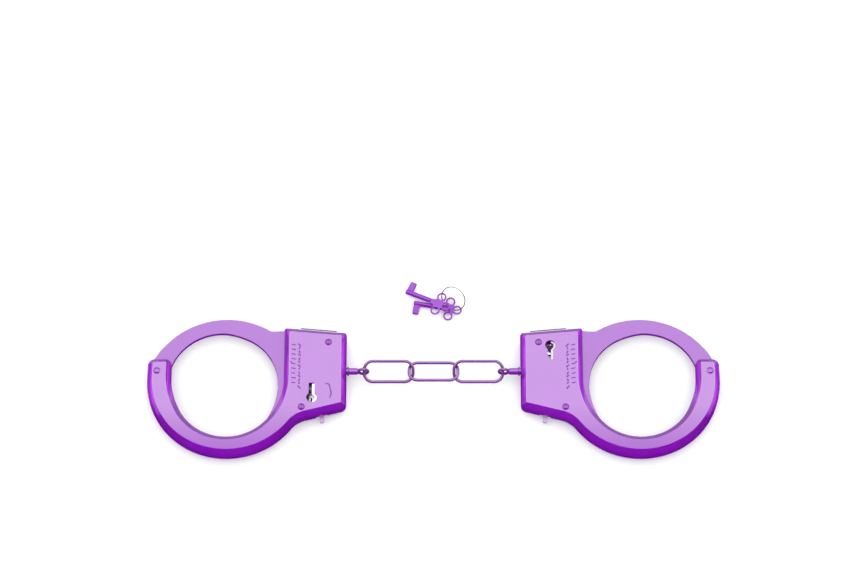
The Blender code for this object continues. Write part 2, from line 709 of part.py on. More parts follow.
def make_lever(name, peg_spot, mirror):
    """Release lever: hub, arm with a slot round the pawl's peg, and a nub under the south wall."""
    pivot = LEVER_PIVOT
    reach = math.dist(pivot, peg_spot)
    heading = math.degrees(math.atan2(peg_spot[1] - pivot[1], peg_spot[0] - pivot[0]))

    def place(u, v):
        c, s = unit(heading)
        return pivot[0] + u * c - v * s, pivot[1] + u * s + v * c

    outline = arc(pivot[0], pivot[1], 2.1, heading + 50.0, heading + 310.0, 12)
    outline += [place(reach - 2.0, -1.3), place(reach - 1.2, -1.9), place(reach + 1.2, -1.9)]
    outline += [place(reach + 2.1, -1.1), place(reach + 2.1, 1.1), place(reach + 1.2, 1.9)]
    outline += [place(reach - 1.2, 1.9), place(reach - 2.0, 1.3)]
    slot = [place(reach + 0.45 + 1.05 * unit(a)[0], 1.05 * unit(a)[1]) for a in range(-90, 91, 30)]
    slot += [place(reach - 0.45 + 1.05 * unit(a)[0], 1.05 * unit(a)[1]) for a in range(90, 271, 30)]
    bore = circle(pivot[0], pivot[1], PIN_BORE, 12)
    points, faces = prism(outline, [bore, slot], LEVER_LOW, LEVER_HIGH)
    made = make_object(name, points, faces, "rivet", (pivot[0], pivot[1], MID), mirror)
    nub = [(pivot[0] - 1.0, pivot[1] - 1.75), (pivot[0] - 1.0, NUB_END_Y + 0.5), (pivot[0] - 0.6, NUB_END_Y)]
    nub += [(pivot[0] + 0.6, NUB_END_Y), (pivot[0] + 1.0, NUB_END_Y + 0.5), (pivot[0] + 1.0, pivot[1] - 1.75)]
    points, faces = prism(nub, [], NUB_LOW, NUB_HIGH)
    finger = make_object(name + "_nub", points, faces, "rivet", mirror=mirror)
    # tab that steps down from the lever to the nub
    tab = [(pivot[0] - 1.2, pivot[1] - 2.6), (pivot[0] + 1.2, pivot[1] - 2.6)]
    tab += [(pivot[0] + 1.2, pivot[1] - 1.6), (pivot[0] - 1.2, pivot[1] - 1.6)]
    points, faces = prism(tab, [], NUB_LOW - 0.2, LEVER_HIGH - 0.2)
    return fused(made, [finger, make_object(name + "_tab", points, faces, "rivet", mirror=mirror)])


def make_spring(name, anchor, path, mirror):
    """Leaf spring hooked round a rivet: a thin strip along a path."""
    half = 0.25
    left = []
    right = []
    for i, p in enumerate(path):
        a = path[max(0, i - 1)]
        b = path[min(len(path) - 1, i + 1)]
        along = Vector((b[0] - a[0], b[1] - a[1])).normalized()
        left.append((p[0] - along.y * half, p[1] + along.x * half))
        right.append((p[0] + along.y * half, p[1] - along.x * half))
    points, faces = prism(left + right[::-1], [], 3.0, 5.4)
    return make_object(name, points, faces, "spring", (anchor[0], anchor[1], MID), mirror, 60.0)


# ---------------------------------------------------------------- swivels and chain

def turned_along_x(profile, steps):
    """Turn (x, radius) pairs about the X axis at mid height; both ends close on the axis."""
    points, faces = lathe([(r, x) for x, r in profile], (0.0, 0.0), steps)
    return [(p[2], p[0], p[1] + MID) for p in points], faces


def make_swivel(name, mirror):
    profile = [(-46.2, 0.0), (-46.2, 2.3), (-45.9, 2.7), (-45.1, 2.7), (-45.0, 2.4), (-45.0, POST_RADIUS)]
    profile += [(-42.3, POST_RADIUS), (-42.3, 2.2), (-41.7, 2.2), (-41.5, POST_RADIUS)]
    profile += [(-37.6, POST_RADIUS), (-36.7, 1.2), (-36.3, 0.0)]
    points, faces = turned_along_x(profile, 16)
    made = make_object(name, points, faces, "chain", (-42.0, 0.0, MID), mirror)
    ring = []
    major = 18
    minor = 10
    for i in range(major):
        c, s = unit(360.0 * i / major)
        for k in range(minor):
            a, b = unit(360.0 * k / minor)
            radius = EYE_MAJOR + EYE_RIM * a
            ring.append((EYE_X + radius * c, EYE_RIM * b, MID + radius * s))
    faces = []
    for i in range(major):
        j = (i + 1) % major
        for k in range(minor):
            m = (k + 1) % minor
            faces.append((i * minor + k, i * minor + m, j * minor + m, j * minor + k))
    eye = make_object(name + "_eye", ring, faces, "chain", mirror=mirror)
    fused(made, [eye])
    spin = Matrix.Translation((0, 0, MID * MM)) @ Matrix.Rotation(math.radians(EYE_TILT), 4, "X")
    spin = spin @ Matrix.Translation((0, 0, -MID * MM))
    made.data.transform(made.matrix_world.inverted() @ spin @ made.matrix_world)
    return made


def make_link(name, centre_x, tilt, origin_x):
    half = LINK_LENGTH / 2.0 - LINK_CORNER
    side = LINK_WIDTH / 2.0 - LINK_CORNER
    corners = ((half, side, 0.0), (-half, side, 90.0), (-half, -side, 180.0), (half, -side, 270.0))
    path = []
    for cx, cy, start in corners:
        path += [(x, y, 0.0) for x, y in arc(cx, cy, LINK_CORNER, start, start + 90.0, 5)]
    points, faces = closed_tube(path, WIRE, 10, Vector((0.0, 0.0, 1.0)))
    place = Matrix.Translation((centre_x, 0.0, MID)) @ Matrix.Rotation(math.radians(tilt), 4, "X")
    return make_object(name, moved(points, place), faces, "chain", (origin_x, 0.0, MID))


# ---------------------------------------------------------------- keys

def key_frame(spec):
    x, y, z, heading, dip = spec
    place = Matrix.Translation((x, y, z)) @ Matrix.Rotation(math.radians(heading), 4, "Z")
    return place @ Matrix.Rotation(math.radians(dip), 4, "Y")


def make_key(name, spec, origin, bit_side):
    """Key drawn with its shaft along +X from its three-lobed bow."""
    half = KEY_PLATE / 2.0
    place = key_frame(spec)
    bow = [(5.6, -1.1), (5.6, 1.1), (2.9, 1.4), (2.0, 1.9)]
    bow += arc(0.0, LOBE_OFFSET, LOBE_RADIUS, -36.0, 222.0, 14)
    bow += arc(-LOBE_OFFSET, 0.0, LOBE_RADIUS, 48.0, 312.0, 14)
    bow += arc(0.0, -LOBE_OFFSET, LOBE_RADIUS, 138.0, 396.0, 14)
    bow += [(2.0, -1.9), (2.9, -1.4)]
    holes = []
    for cx, cy in ((-LOBE_OFFSET, 0.0), (0.0, LOBE_OFFSET), (0.0, -LOBE_OFFSET)):
        holes.append(circle(cx, cy, LOBE_HOLE, 14))
    points, faces = prism(bow, holes, -half, half)
    made = make_object(name, moved(points, place), faces, "key", tuple(origin))
    extras = []
    tube, faces = lathe([(0.0, 4.4), (KEY_SHAFT - 0.2, 4.4), (KEY_SHAFT, 4.8), (KEY_SHAFT, KEY_LENGTH - 0.15),
                         (KEY_SHAFT - 0.15, KEY_LENGTH), (KEY_BORE, KEY_LENGTH), (KEY_BORE, KEY_LENGTH - 7.0),
                         (0.0, KEY_LENGTH - 7.0)], (0.0, 0.0), 14)
    shaft = [(p[2], p[0], p[1]) for p in tube]
    extras.append(make_object(name + "_shaft", moved(shaft, place), faces, "key"))
    bit = [(KEY_LENGTH - BIT_LENGTH, bit_side * 1.0), (KEY_LENGTH - 0.3, bit_side * 1.0)]
    bit += [(KEY_LENGTH - 0.3, bit_side * (BIT_REACH - 0.4)), (KEY_LENGTH - 0.7, bit_side * BIT_REACH)]
    bit += [(KEY_LENGTH - BIT_LENGTH, bit_side * BIT_REACH)]
    points, faces = prism(bit, [], -BIT_THICK / 2.0, BIT_THICK / 2.0)
    extras.append(make_object(name + "_bit", moved(points, place), faces, "key"))
    return fused(made, extras)


def ring_frame():
    """Centre and plane of the key ring, which threads one hole of each key."""
    first = key_frame(TOP_KEY) @ Vector((0.0, -LOBE_OFFSET, 0.0))
    second = key_frame(LOW_KEY) @ Vector((-LOBE_OFFSET, 0.0, 0.0))
    along = (second - first).normalized()
    level = Vector((-along.y, along.x, 0.0)).normalized()
    lift = along.cross(level)
    if lift.z < 0.0:
        lift = -lift
    inward = level * math.cos(math.radians(KEY_RING_TILT)) + lift * math.sin(math.radians(KEY_RING_TILT))
    half = (second - first).length / 2.0
    centre = (first + second) / 2.0 + inward * math.sqrt(KEY_RING * KEY_RING - half * half)
    return centre, along, inward, second


def make_key_ring(name, centre, along, inward):
    path = []
    for i in range(36):
        c, s = unit(360.0 * i / 36)
        path.append(tuple(centre + along * (KEY_RING * c) + inward * (KEY_RING * s)))
    points, faces = closed_tube(path, KEY_WIRE, 6, along.cross(inward))
    return make_object(name, points, faces, "bright", tuple(centre))


# ---------------------------------------------------------------- assembly

def make_cuff(side, mirror):
    left = side == "left"
    hole = LEFT_KEYHOLE if left else RIGHT_KEYHOLE
    run = 1 if left else -1
    pivot = LEFT_PAWL_PIVOT if left else RIGHT_PAWL_PIVOT
    cheek_plate(side + "_front_plate", True, mirror, hole, run)
    cheek_plate(side + "_rear_plate", False, mirror, None, 0)
    make_jaw(side + "_jaw", mirror)
    make_rivet(side + "_hinge_rivet", (HINGE_X, HINGE_Y), mirror, RIVET, True)
    make_rivet(side + "_upper_rivet", UPPER_RIVET, mirror, SPACER, False)
    make_rivet(side + "_lower_rivet", LOWER_RIVET, mirror, SPACER, True)
    make_pin(side + "_pawl_pin", pivot, mirror, PIN)
    make_pin(side + "_lever_pin", LEVER_PIVOT, mirror, PIN)
    make_key_post(side + "_key_post", hole, mirror)
    hook = arc(UPPER_RIVET[0], UPPER_RIVET[1], SPACER + 0.6, 80.0, 265.0, 8)
    if left:
        make_left_pawl(side + "_pawl", mirror)
        make_lever(side + "_release_lever", (-56.7, -10.3), mirror)
        path = hook + [(-53.0, 8.6), (-56.0, 5.0), (-58.6, 0.0), (-58.8, -3.4), (-57.6, -5.2)]
    else:
        make_right_pawl(side + "_pawl", mirror)
        make_lever(side + "_release_lever", (-58.9, -15.3), mirror)
        path = hook + [(-50.0, 8.0), (-49.4, 3.0), (-51.6, -1.0), (-56.0, -3.6), (-58.4, -4.6), (-58.8, -6.4)]
    make_spring(side + "_pawl_spring", UPPER_RIVET, path, mirror)
    make_swivel(side + "_swivel", mirror)


def centre_on_table():
    """Move every piece so the set is centred on the origin and stands on the table."""
    bpy.context.view_layer.update()
    low = Vector((1e9, 1e9, 1e9))
    high = -low
    for thing in bpy.data.objects:
        for vertex in thing.data.vertices:
            spot = thing.matrix_world @ vertex.co
            low = Vector(map(min, low, spot))
            high = Vector(map(max, high, spot))
    shift = Vector((-(low.x + high.x) / 2.0, -(low.y + high.y) / 2.0, -low.z))
    for thing in bpy.data.objects:
        thing.location = thing.location + shift
    bpy.context.view_layer.update()


clear_scene()
make_cuff("left", False)
make_cuff("right", True)
eye_wire_x = EYE_X + EYE_MAJOR - EYE_RIM - WIRE - 0.3
first_link_x = eye_wire_x + LINK_LENGTH / 2.0
meet_x = LINK_LENGTH / 2.0 - LINK_SPACING / 2.0
make_link("chain_link_1", first_link_x, OUTER_LINK_TILT, EYE_X)
make_link("chain_link_2", 0.0, MIDDLE_LINK_TILT, -meet_x)
make_link("chain_link_3", -first_link_x, OUTER_LINK_TILT, meet_x)
ring_centre, ring_along, ring_inward, low_key_hole = ring_frame()
make_key("key_1", TOP_KEY, ring_centre, -1)
make_key("key_2", LOW_KEY, low_key_hole, 1)
make_key_ring("key_ring", ring_centre, ring_along, ring_inward)
centre_on_table()
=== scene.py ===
"""Looks for the toy handcuffs: glossy purple coat on pressed metal, chain and keys.

Lengths are in millimetres, scaled to metres when a mesh is written. Places come from the frame.
"""
import json
import math

import bmesh
import bpy
from mathutils import Matrix, Vector
from mathutils.geometry import tessellate_polygon


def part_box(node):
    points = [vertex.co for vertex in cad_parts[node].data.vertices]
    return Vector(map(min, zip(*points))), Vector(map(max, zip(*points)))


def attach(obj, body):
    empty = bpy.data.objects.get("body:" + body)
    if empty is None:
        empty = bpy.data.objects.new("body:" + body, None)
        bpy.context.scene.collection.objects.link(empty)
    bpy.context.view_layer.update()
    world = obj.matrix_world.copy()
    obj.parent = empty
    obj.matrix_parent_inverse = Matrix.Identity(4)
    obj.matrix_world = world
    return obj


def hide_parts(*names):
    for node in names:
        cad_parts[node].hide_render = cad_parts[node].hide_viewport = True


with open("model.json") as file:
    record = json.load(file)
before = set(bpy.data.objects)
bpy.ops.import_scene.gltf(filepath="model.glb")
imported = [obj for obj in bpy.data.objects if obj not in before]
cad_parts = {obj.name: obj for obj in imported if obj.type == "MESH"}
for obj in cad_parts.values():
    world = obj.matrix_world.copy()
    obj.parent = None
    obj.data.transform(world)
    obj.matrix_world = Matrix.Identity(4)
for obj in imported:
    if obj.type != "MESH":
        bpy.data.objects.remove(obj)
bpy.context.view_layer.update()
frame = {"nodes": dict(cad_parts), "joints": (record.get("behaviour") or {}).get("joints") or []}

MM = 0.001


def node_box(name):
    """Lowest and highest corner of a CAD node, in millimetres."""
    low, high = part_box(name)
    return Vector(low) / MM, Vector(high) / MM


def joint_place(name):
    for joint in frame["joints"]:
        if joint["name"] == name:
            return Vector(joint["pos_m"]) / MM
    raise KeyError(name)


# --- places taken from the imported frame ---
plate_low, plate_high = node_box("left_front_plate")
AXIS = joint_place("left_swivel_spin")
HINGE = joint_place("left_jaw_swing")
AXIS_Y = AXIS.y
MID = AXIS.z
TOP = plate_high.z

# --- cuff housing and frame ring, measured from the chain's axis ---
SHEET = 0.9
LIP_HIGH = 6.7
SEAM_HIGH = plate_low.z
RING_OUTER = 39.45
RING_X = plate_low.x + RING_OUTER
RING_Y = plate_low.y + RING_OUTER
WRIST_X = RING_X - 0.4
WRIST_Y = RING_Y - 3.2
WRIST_RADIUS = 25.9
BLEND_ANGLE = -48.0
ARM_BEND_ANGLE = -157.0
JAW_SIDE_X = -73.3
CHAIN_SIDE_X = plate_high.x
TOP_LEFT_Y = AXIS_Y + 22.3
TOP_RIGHT_Y = AXIS_Y + 19.6
BOTTOM_RIGHT_Y = AXIS_Y - 20.2
BOTTOM_SLOPE = 14.3
ARM_TIP_Y = AXIS_Y + 5.8
ARM_LEFT_X = plate_low.x + 0.15
ARM_RIGHT_X = ARM_LEFT_X + 11.45
ARM_BEND_TOP_Y = AXIS_Y - 4.0
BOTTOM_FILLET = 13.0
LEVER_NOTCH_HIGH = 9.0
SEAM_OPEN_ABOVE_Y = AXIS_Y - 14.0

# --- jaw ---
JAW_LOW, JAW_HIGH = node_box("left_jaw")[0].z, node_box("left_jaw")[1].z
JAW_EYE = 4.5
JAW_BORE = 1.75
TOOTH_TIP = 67.4  # 0.1 below the CAD's tips
TOOTH_ROOT = 66.0
TOOTH_PITCH = 2.0
TOOTH_COUNT = 20
FIRST_TOOTH = -25.2

# --- rivets ---
RIVET_TOP = node_box("left_upper_rivet")[1].z
RIVET_HEAD = 1.72
RIVET_HOLE = 1.5
UPPER_RIVET = joint_place("left_swivel_spin") + Vector((-9.5, 13.45, 0.0))
LOWER_RIVET = joint_place("left_swivel_spin") + Vector((-22.3, -20.6, 0.0))

# --- keyholes, in left-hand coordinates ---
LEFT_KEYHOLE = (-59.5, AXIS_Y - 15.6)
RIGHT_KEYHOLE = (-57.3, AXIS_Y + 11.9)
KEYHOLE_RADIUS = 2.5
KEYHOLE_SLOT = 2.7
KEYHOLE_REACH = 7.6

# --- swivels and chain ---
OUTER_LINK_TILT = 24.0
MIDDLE_LINK_TILT = -11.0
EYE_X = joint_place("link_1_swing").x
EYE_MAJOR = 2.3
EYE_RIM = 0.75
EYE_SKIN = 0.70  # drawn thinner than the CAD's eye, so the link clears it when it turns
EYE_TILT = -6.0
SWIVEL_POST = 1.6
WIRE = 0.75
LINK_LENGTH = 23.9
LINK_WIDTH = 10.1
LINK_CORNER = 4.2

# --- keys ---
KEY_SHAFT = 1.2
KEY_BORE = 0.85
KEY_LENGTH = 17.8
KEY_PLATE = 0.7
LOBE_OFFSET = 3.9
LOBE_RADIUS = 2.35
LOBE_HOLE = 1.6
BIT_LENGTH = 3.1
BIT_REACH = 5.7
BIT_THICK = 1.3
KEY_RING = 6.3
KEY_WIRE = 0.25  # drawn 0.02 thinner than the CAD's wire
KEY_RING_TILT = 53.0
TOP_KEY = (2.45, AXIS_Y + 36.96, 3.5, 154.6, 7.6)
LOW_KEY = (7.84, AXIS_Y + 35.0, 1.52, 169.5, 1.0)


# ---------------------------------------------------------------- materials

def new_material(name):
    made = bpy.data.materials.new(name)
    made.use_nodes = True
    tree = made.node_tree
    return made, tree, tree.nodes["Principled BSDF"]


def noise(tree, scale, detail, source):
    node = tree.nodes.new("ShaderNodeTexNoise")
    node.inputs["Scale"].default_value = scale
    node.inputs["Detail"].default_value = detail
    tree.links.new(source, node.inputs["Vector"])
    return node


def ramp(tree, source, low, high, start, stop):
    """Map a noise value between two colours."""
    node = tree.nodes.new("ShaderNodeValToRGB")
    node.color_ramp.elements[0].position = start
    node.color_ramp.elements[0].color = (*low, 1.0)
    node.color_ramp.elements[1].position = stop
    node.color_ramp.elements[1].color = (*high, 1.0)
    tree.links.new(source, node.inputs["Fac"])
    return node.outputs["Color"]


def span(tree, source, low, high):
    """Map a noise value of 0.3 to 0.7 onto a range."""
    node = tree.nodes.new("ShaderNodeMapRange")
    node.inputs["From Min"].default_value = 0.3
    node.inputs["From Max"].default_value = 0.7
    node.inputs["To Min"].default_value = low
    node.inputs["To Max"].default_value = high
    tree.links.new(source, node.inputs["Value"])
    return node.outputs["Result"]


def coated(name, deep, light, roughness, ior, tint, painted_south_shade=False):
    """Glossy coloured coat: cloudy colour, uneven gloss and fine orange peel; its reflection may be turned
    down towards the south as painted shade.
    """
    made, tree, shader = new_material(name)
    place = tree.nodes.new("ShaderNodeTexCoord")
    spot = place.outputs["Object"]
    cloud = noise(tree, 45.0, 3.0, spot)
    tree.links.new(ramp(tree, cloud.outputs["Fac"], deep, light, 0.35, 0.65), shader.inputs["Base Color"])
    smear = noise(tree, 160.0, 5.0, spot)
    tree.links.new(span(tree, smear.outputs["Fac"], roughness * 0.85, roughness * 1.2),
                   shader.inputs["Roughness"])
    shader.inputs["Specular Tint"].default_value = (1.0, tint, 1.0, 1.0)
    shader.inputs["IOR"].default_value = ior
    # painted shade: the reflection level falls with Y towards the south
    if painted_south_shade:
        parts = tree.nodes.new("ShaderNodeSeparateXYZ")
        tree.links.new(spot, parts.inputs["Vector"])
        gloss = tree.nodes.new("ShaderNodeMapRange")
        gloss.inputs["From Min"].default_value = PAINTED_SHADE_START * MM
        gloss.inputs["From Max"].default_value = PAINTED_SHADE_STOP * MM
        gloss.inputs["To Min"].default_value = FULL_GLOSS
        gloss.inputs["To Max"].default_value = SOUTH_PAINTED_SHADE_GLOSS
        tree.links.new(parts.outputs["Y"], gloss.inputs["Value"])
        tree.links.new(gloss.outputs["Result"], shader.inputs["Specular IOR Level"])
    peel = noise(tree, 900.0, 2.0, spot)
    bump = tree.nodes.new("ShaderNodeBump")
    bump.inputs["Strength"].default_value = 0.05
    bump.inputs["Distance"].default_value = 0.0002
    tree.links.new(peel.outputs["Fac"], bump.inputs["Height"])
    tree.links.new(bump.outputs["Normal"], shader.inputs["Normal"])
    return made


def steel(name, deep, light, roughness):
    """Plain steel with fine rubbed grain."""
    made, tree, shader = new_material(name)
    place = tree.nodes.new("ShaderNodeTexCoord")
    stretch = tree.nodes.new("ShaderNodeMapping")
    stretch.inputs["Scale"].default_value = (1.0, 9.0, 1.0)
    tree.links.new(place.outputs["Object"], stretch.inputs["Vector"])
    grain = noise(tree, 500.0, 4.0, stretch.outputs["Vector"])
    tree.links.new(ramp(tree, grain.outputs["Fac"], deep, light, 0.35, 0.65), shader.inputs["Base Color"])
    tree.links.new(span(tree, grain.outputs["Fac"], roughness * 0.8, roughness * 1.3),
                   shader.inputs["Roughness"])
    shader.inputs["Metallic"].default_value = 1.0
    bump = tree.nodes.new("ShaderNodeBump")
    bump.inputs["Strength"].default_value = 0.08
    bump.inputs["Distance"].default_value = 0.0001
    tree.links.new(grain.outputs["Fac"], bump.inputs["Height"])
    tree.links.new(bump.outputs["Normal"], shader.inputs["Normal"])
    return made


# painted shade: the plates reflect less towards the ring's south side, between these two lines, standing in
# for the lighting falling off there
PAINTED_SHADE_START = RING_Y - 14.0
PAINTED_SHADE_STOP = RING_Y - 38.0
FULL_GLOSS = 0.5
SOUTH_PAINTED_SHADE_GLOSS = 0.27
SHELL_WITH_PAINTED_SHADE = coated("purple_shell_with_painted_shade", (0.150, 0.001, 0.290), (0.165, 0.001, 0.320), 0.13, 2.4, 0.80, painted_south_shade=True)
JAW = coated("purple_jaw", (0.155, 0.001, 0.305), (0.170, 0.001, 0.330), 0.20, 2.1, 0.80)
# painted shade: the upper and lower rivets get a darker, less reflective copy of the coat, standing in for
# the shade on their domed heads
RIVET_WITH_PAINTED_SHADE = coated("purple_rivet_darkened_as_painted_shade", (0.135, 0.001, 0.26), (0.150, 0.001, 0.28), 0.16, 1.75, 0.80)
CHAIN = coated("purple_chain", (0.12, 0.015, 0.19), (0.15, 0.025, 0.23), 0.22, 2.2, 0.85)
KEYS = coated("purple_keys", (0.17, 0.004, 0.36), (0.20, 0.006, 0.40), 0.20, 1.7, 0.75)
# painted shade: key 2 gets a darker copy of the key coat, standing in for the dark reflection its bit shows
SHADE_PAINTED_KEYS = coated("keys_darkened_as_painted_shade", (0.16, 0.002, 0.33), (0.19, 0.004, 0.37), 0.20, 1.65, 0.75)
# painted shade: a darker, duller copy of the coat for the stamped bars, the bent ridge and the slot lip,
# standing in for the shade of their relief
SHADE_PAINTED_MARK = coated("mark_darkened_as_painted_shade", (0.11, 0.004, 0.22), (0.13, 0.006, 0.25), 0.34, 1.35, 0.80)
LEVER = coated("lilac_lever", (0.40, 0.26, 0.50), (0.44, 0.30, 0.54), 0.30, 1.8, 0.90)
BRIGHT = steel("bright_steel", (0.72, 0.72, 0.74), (0.86, 0.86, 0.88), 0.16)
# painted shade: a darker copy of the steel for the right cuff's keyhole shoulder and lock bed, standing in
# for a dimmer reflection
SHADE_PAINTED_STEEL = steel("steel_darkened_as_painted_shade", (0.30, 0.28, 0.30), (0.46, 0.43, 0.45), 0.30)
PLAIN = steel("plain_steel", (0.40, 0.40, 0.42), (0.52, 0.52, 0.54), 0.32)


# ---------------------------------------------------------------- mesh helpers

def unit(angle):
    return math.cos(math.radians(angle)), math.sin(math.radians(angle))


def arc(cx, cy, radius, start, stop, steps):
    """Points on an arc, both ends included."""
    points = []
    for i in range(steps + 1):
        c, s = unit(start + (stop - start) * i / steps)
        points.append((cx + radius * c, cy + radius * s))
    return points


def circle(cx, cy, radius, steps):
    return arc(cx, cy, radius, 0.0, 360.0, steps)[:-1]


def area(loop):
    total = 0.0
    for i, p in enumerate(loop):
        q = loop[(i + 1) % len(loop)]
        total += p[0] * q[1] - q[0] * p[1]
    return total / 2.0


def anticlockwise(loop):
    return loop if area(loop) > 0.0 else loop[::-1]


def piece(name, points, faces, look, body, mirror=False, smooth=32.0, weighted=True):
    """Write one visible piece that rides on a CAD body; mirror makes it right-handed."""
    sign = -1.0 if mirror else 1.0
    mesh = bpy.data.meshes.new(name)
    mesh.from_pydata([(p[0] * sign * MM, p[1] * MM, p[2] * MM) for p in points], [], faces)
    work = bmesh.new()
    work.from_mesh(mesh)
    bmesh.ops.remove_doubles(work, verts=work.verts[:], dist=1e-7)
    bmesh.ops.recalc_face_normals(work, faces=work.faces[:])
    if work.calc_volume(signed=True) < 0.0:
        bmesh.ops.reverse_faces(work, faces=work.faces[:])
    work.to_mesh(mesh)
    work.free()
    made = bpy.data.objects.new(name, mesh)
    bpy.context.scene.collection.objects.link(made)
    mesh.materials.append(look)
    mesh.shade_smooth()
    mesh.set_sharp_from_angle(angle=math.radians(smooth))
    if weighted:
        normals = made.modifiers.new("normals", "WEIGHTED_NORMAL")
        normals.keep_sharp = True
    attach(made, body)
    return made


def cap(points, loops):
    """Triangles that fill an outer loop and its holes; loops are lists of point numbers."""
    flat = [[Vector((points[i][0], points[i][1], 0.0)) for i in loop] for loop in loops]
    numbers = [i for loop in loops for i in loop]
    return [tuple(numbers[i] for i in triple) for triple in tessellate_polygon(flat)]


def wall(lower, upper):
    count = len(lower)
    return [(lower[i], lower[(i + 1) % count], upper[(i + 1) % count], upper[i]) for i in range(count)]


def grown(loop, amount):
    """Offset a loop sideways by its corner normals; positive amounts move an anticlockwise loop in."""
    moved = []
    count = len(loop)
    for i in range(count):
        a = Vector(loop[i - 1])
        b = Vector(loop[i])
        c = Vector(loop[(i + 1) % count])
        first = (b - a).normalized()
        second = (c - b).normalized()
        normal = Vector((-(first.y + second.y), first.x + second.x))
        if normal.length < 1e-6:
            normal = Vector((-first.y, first.x))
        normal.normalize()
        lean = max(0.5, normal.dot(Vector((-first.y, first.x))))
        moved.append(tuple(b + normal * (amount / lean)))
    return moved


def rounded_prism(outline, holes, low, high, edge, steps=3, hole_edge=None):
    """A flat piece whose top and bottom edges are rounded by the radius edge."""
    hole_edge = edge if hole_edge is None else hole_edge
    points = []
    faces = []
    tops = []
    bottoms = []
    for number, loop in enumerate([outline] + list(holes)):
        loop = anticlockwise(loop)
        radius = edge if number == 0 else hole_edge
        rows = []
        for i in range(steps + 1):
            c, s = unit(90.0 * i / steps)
            rows.append((radius * (1.0 - s), low + radius * (1.0 - c)))
        rows += [(inset, high - (height - low)) for inset, height in rows[::-1]]
        loops = []
        for inset, height in rows:
            way = inset if number == 0 else -inset
            start = len(points)
            points += [(p[0], p[1], height) for p in grown(loop, way)]
            loops.append(list(range(start, start + len(loop))))
        for lower, upper in zip(loops, loops[1:]):
            faces += wall(lower, upper)
        bottoms.append(loops[0])
        tops.append(loops[-1])
    faces += cap(points, tops)
    faces += cap(points, bottoms)
    return points, faces


def lathe(profile, centre, steps):
    """Turn (radius, height) pairs about a vertical axis; the profile starts and ends on it."""
    points = [(centre[0], centre[1], profile[0][1])]
    rings = []
    for radius, height in profile[1:-1]:
        start = len(points)
        points += [(p[0], p[1], height) for p in circle(centre[0], centre[1], radius, steps)]
        rings.append(list(range(start, start + steps)))
    last = len(points)
    points.append((centre[0], centre[1], profile[-1][1]))
    faces = []
    for i in range(steps):
        j = (i + 1) % steps
        faces.append((0, rings[0][j], rings[0][i]))
        faces.append((last, rings[-1][i], rings[-1][j]))
    for lower, upper in zip(rings, rings[1:]):
        faces += wall(lower, upper)
    return points, faces


def closed_tube(path, radius, sides, up):
    """A round wire along a closed flat path; up is the normal of the path's plane."""
    points = []
    count = len(path)
    for i in range(count):
        before = Vector(path[i - 1])
        after = Vector(path[(i + 1) % count])
        along = (after - before).normalized()
        across = along.cross(up).normalized()
        for k in range(sides):
            c, s = unit(360.0 * k / sides)
            points.append(tuple(Vector(path[i]) + across * (radius * c) + up * (radius * s)))
    faces = []
    for i in range(count):
        j = (i + 1) % count
        for k in range(sides):
            m = (k + 1) % sides
            faces.append((i * sides + k, i * sides + m, j * sides + m, j * sides + k))
    return points, faces


def moved(points, matrix):
    return [tuple(matrix @ Vector(p)) for p in points]


# ---------------------------------------------------------------- cheek plates

class Rim:
    """One point of the plate's widest outline: outward normal, rim height, and corner data."""

    def __init__(self, x, y, nx, ny, low, centre=None, radius=0.0, mitre=None):
        self.x = x
        self.y = y
        self.nx = nx
        self.ny = ny
        self.low = low
        self.centre = centre
        self.radius = radius
        self.mitre = mitre

    def inset(self, depth):
        if self.centre is not None and depth > self.radius:
            extra = depth - self.radius
            return self.centre[0] - self.mitre[0] * extra, self.centre[1] - self.mitre[1] * extra
        return self.x - self.nx * depth, self.y - self.ny * depth


def corner(before, at, after, radius, steps, low):
    """A convex rounded corner of the outline, walked anticlockwise."""
    first = Vector((at[0] - before[0], at[1] - before[1])).normalized()
    second = Vector((after[0] - at[0], after[1] - at[1])).normalized()
    normal_first = Vector((first.y, -first.x))
    normal_second = Vector((second.y, -second.x))
    turn = math.acos(max(-1.0, min(1.0, first.dot(second))))
    half = (math.pi - turn) / 2.0
    middle = (normal_first + normal_second).normalized()
    centre = (at[0] - middle.x * radius / math.sin(half), at[1] - middle.y * radius / math.sin(half))
    mitre = (middle.x / math.sin(half), middle.y / math.sin(half))
    begin = math.degrees(math.atan2(normal_first.y, normal_first.x))
    end = begin + math.degrees(turn)
    rims = []
    for i in range(steps + 1):
        nx, ny = unit(begin + (end - begin) * i / steps)
        rims.append(Rim(centre[0] + nx * radius, centre[1] + ny * radius, nx, ny, low, centre, radius, mitre))
    return rims


def line_rims(start, stop, nx, ny, low, steps):
    """Evenly spaced points strictly between two ends of a straight side."""
    rims = []
    for i in range(1, steps):
        t = i / steps
        x = start[0] + (stop[0] - start[0]) * t
        y = start[1] + (stop[1] - start[1]) * t
        rims.append(Rim(x, y, nx, ny, low))
    return rims


def bottom_line_y(x):
    return BOTTOM_RIGHT_Y - (CHAIN_SIDE_X - x) * math.tan(math.radians(BOTTOM_SLOPE))


def top_line_y(x):
    share = (x - JAW_SIDE_X) / (CHAIN_SIDE_X - JAW_SIDE_X)
    return TOP_LEFT_Y + (TOP_RIGHT_Y - TOP_LEFT_Y) * share


def arm_bend(steps, low):
    """Smooth bend from the round wrist edge to the straight inner edge of the arm."""
    c, s = unit(ARM_BEND_ANGLE)
    start = Vector((WRIST_X + WRIST_RADIUS * c, WRIST_Y + WRIST_RADIUS * s))
    stop = Vector((ARM_RIGHT_X, ARM_BEND_TOP_Y))
    along = (ARM_RIGHT_X - start.x) / s
    handle = Vector((ARM_RIGHT_X, start.y - along * c))
    rims = []
    for i in range(1, steps + 1):
        t = i / steps
        spot = start * (1 - t) ** 2 + handle * 2 * t * (1 - t) + stop * t * t
        way = ((handle - start) * (1 - t) + (stop - handle) * t).normalized()
        rims.append(Rim(spot.x, spot.y, way.y, -way.x, low))
    return rims


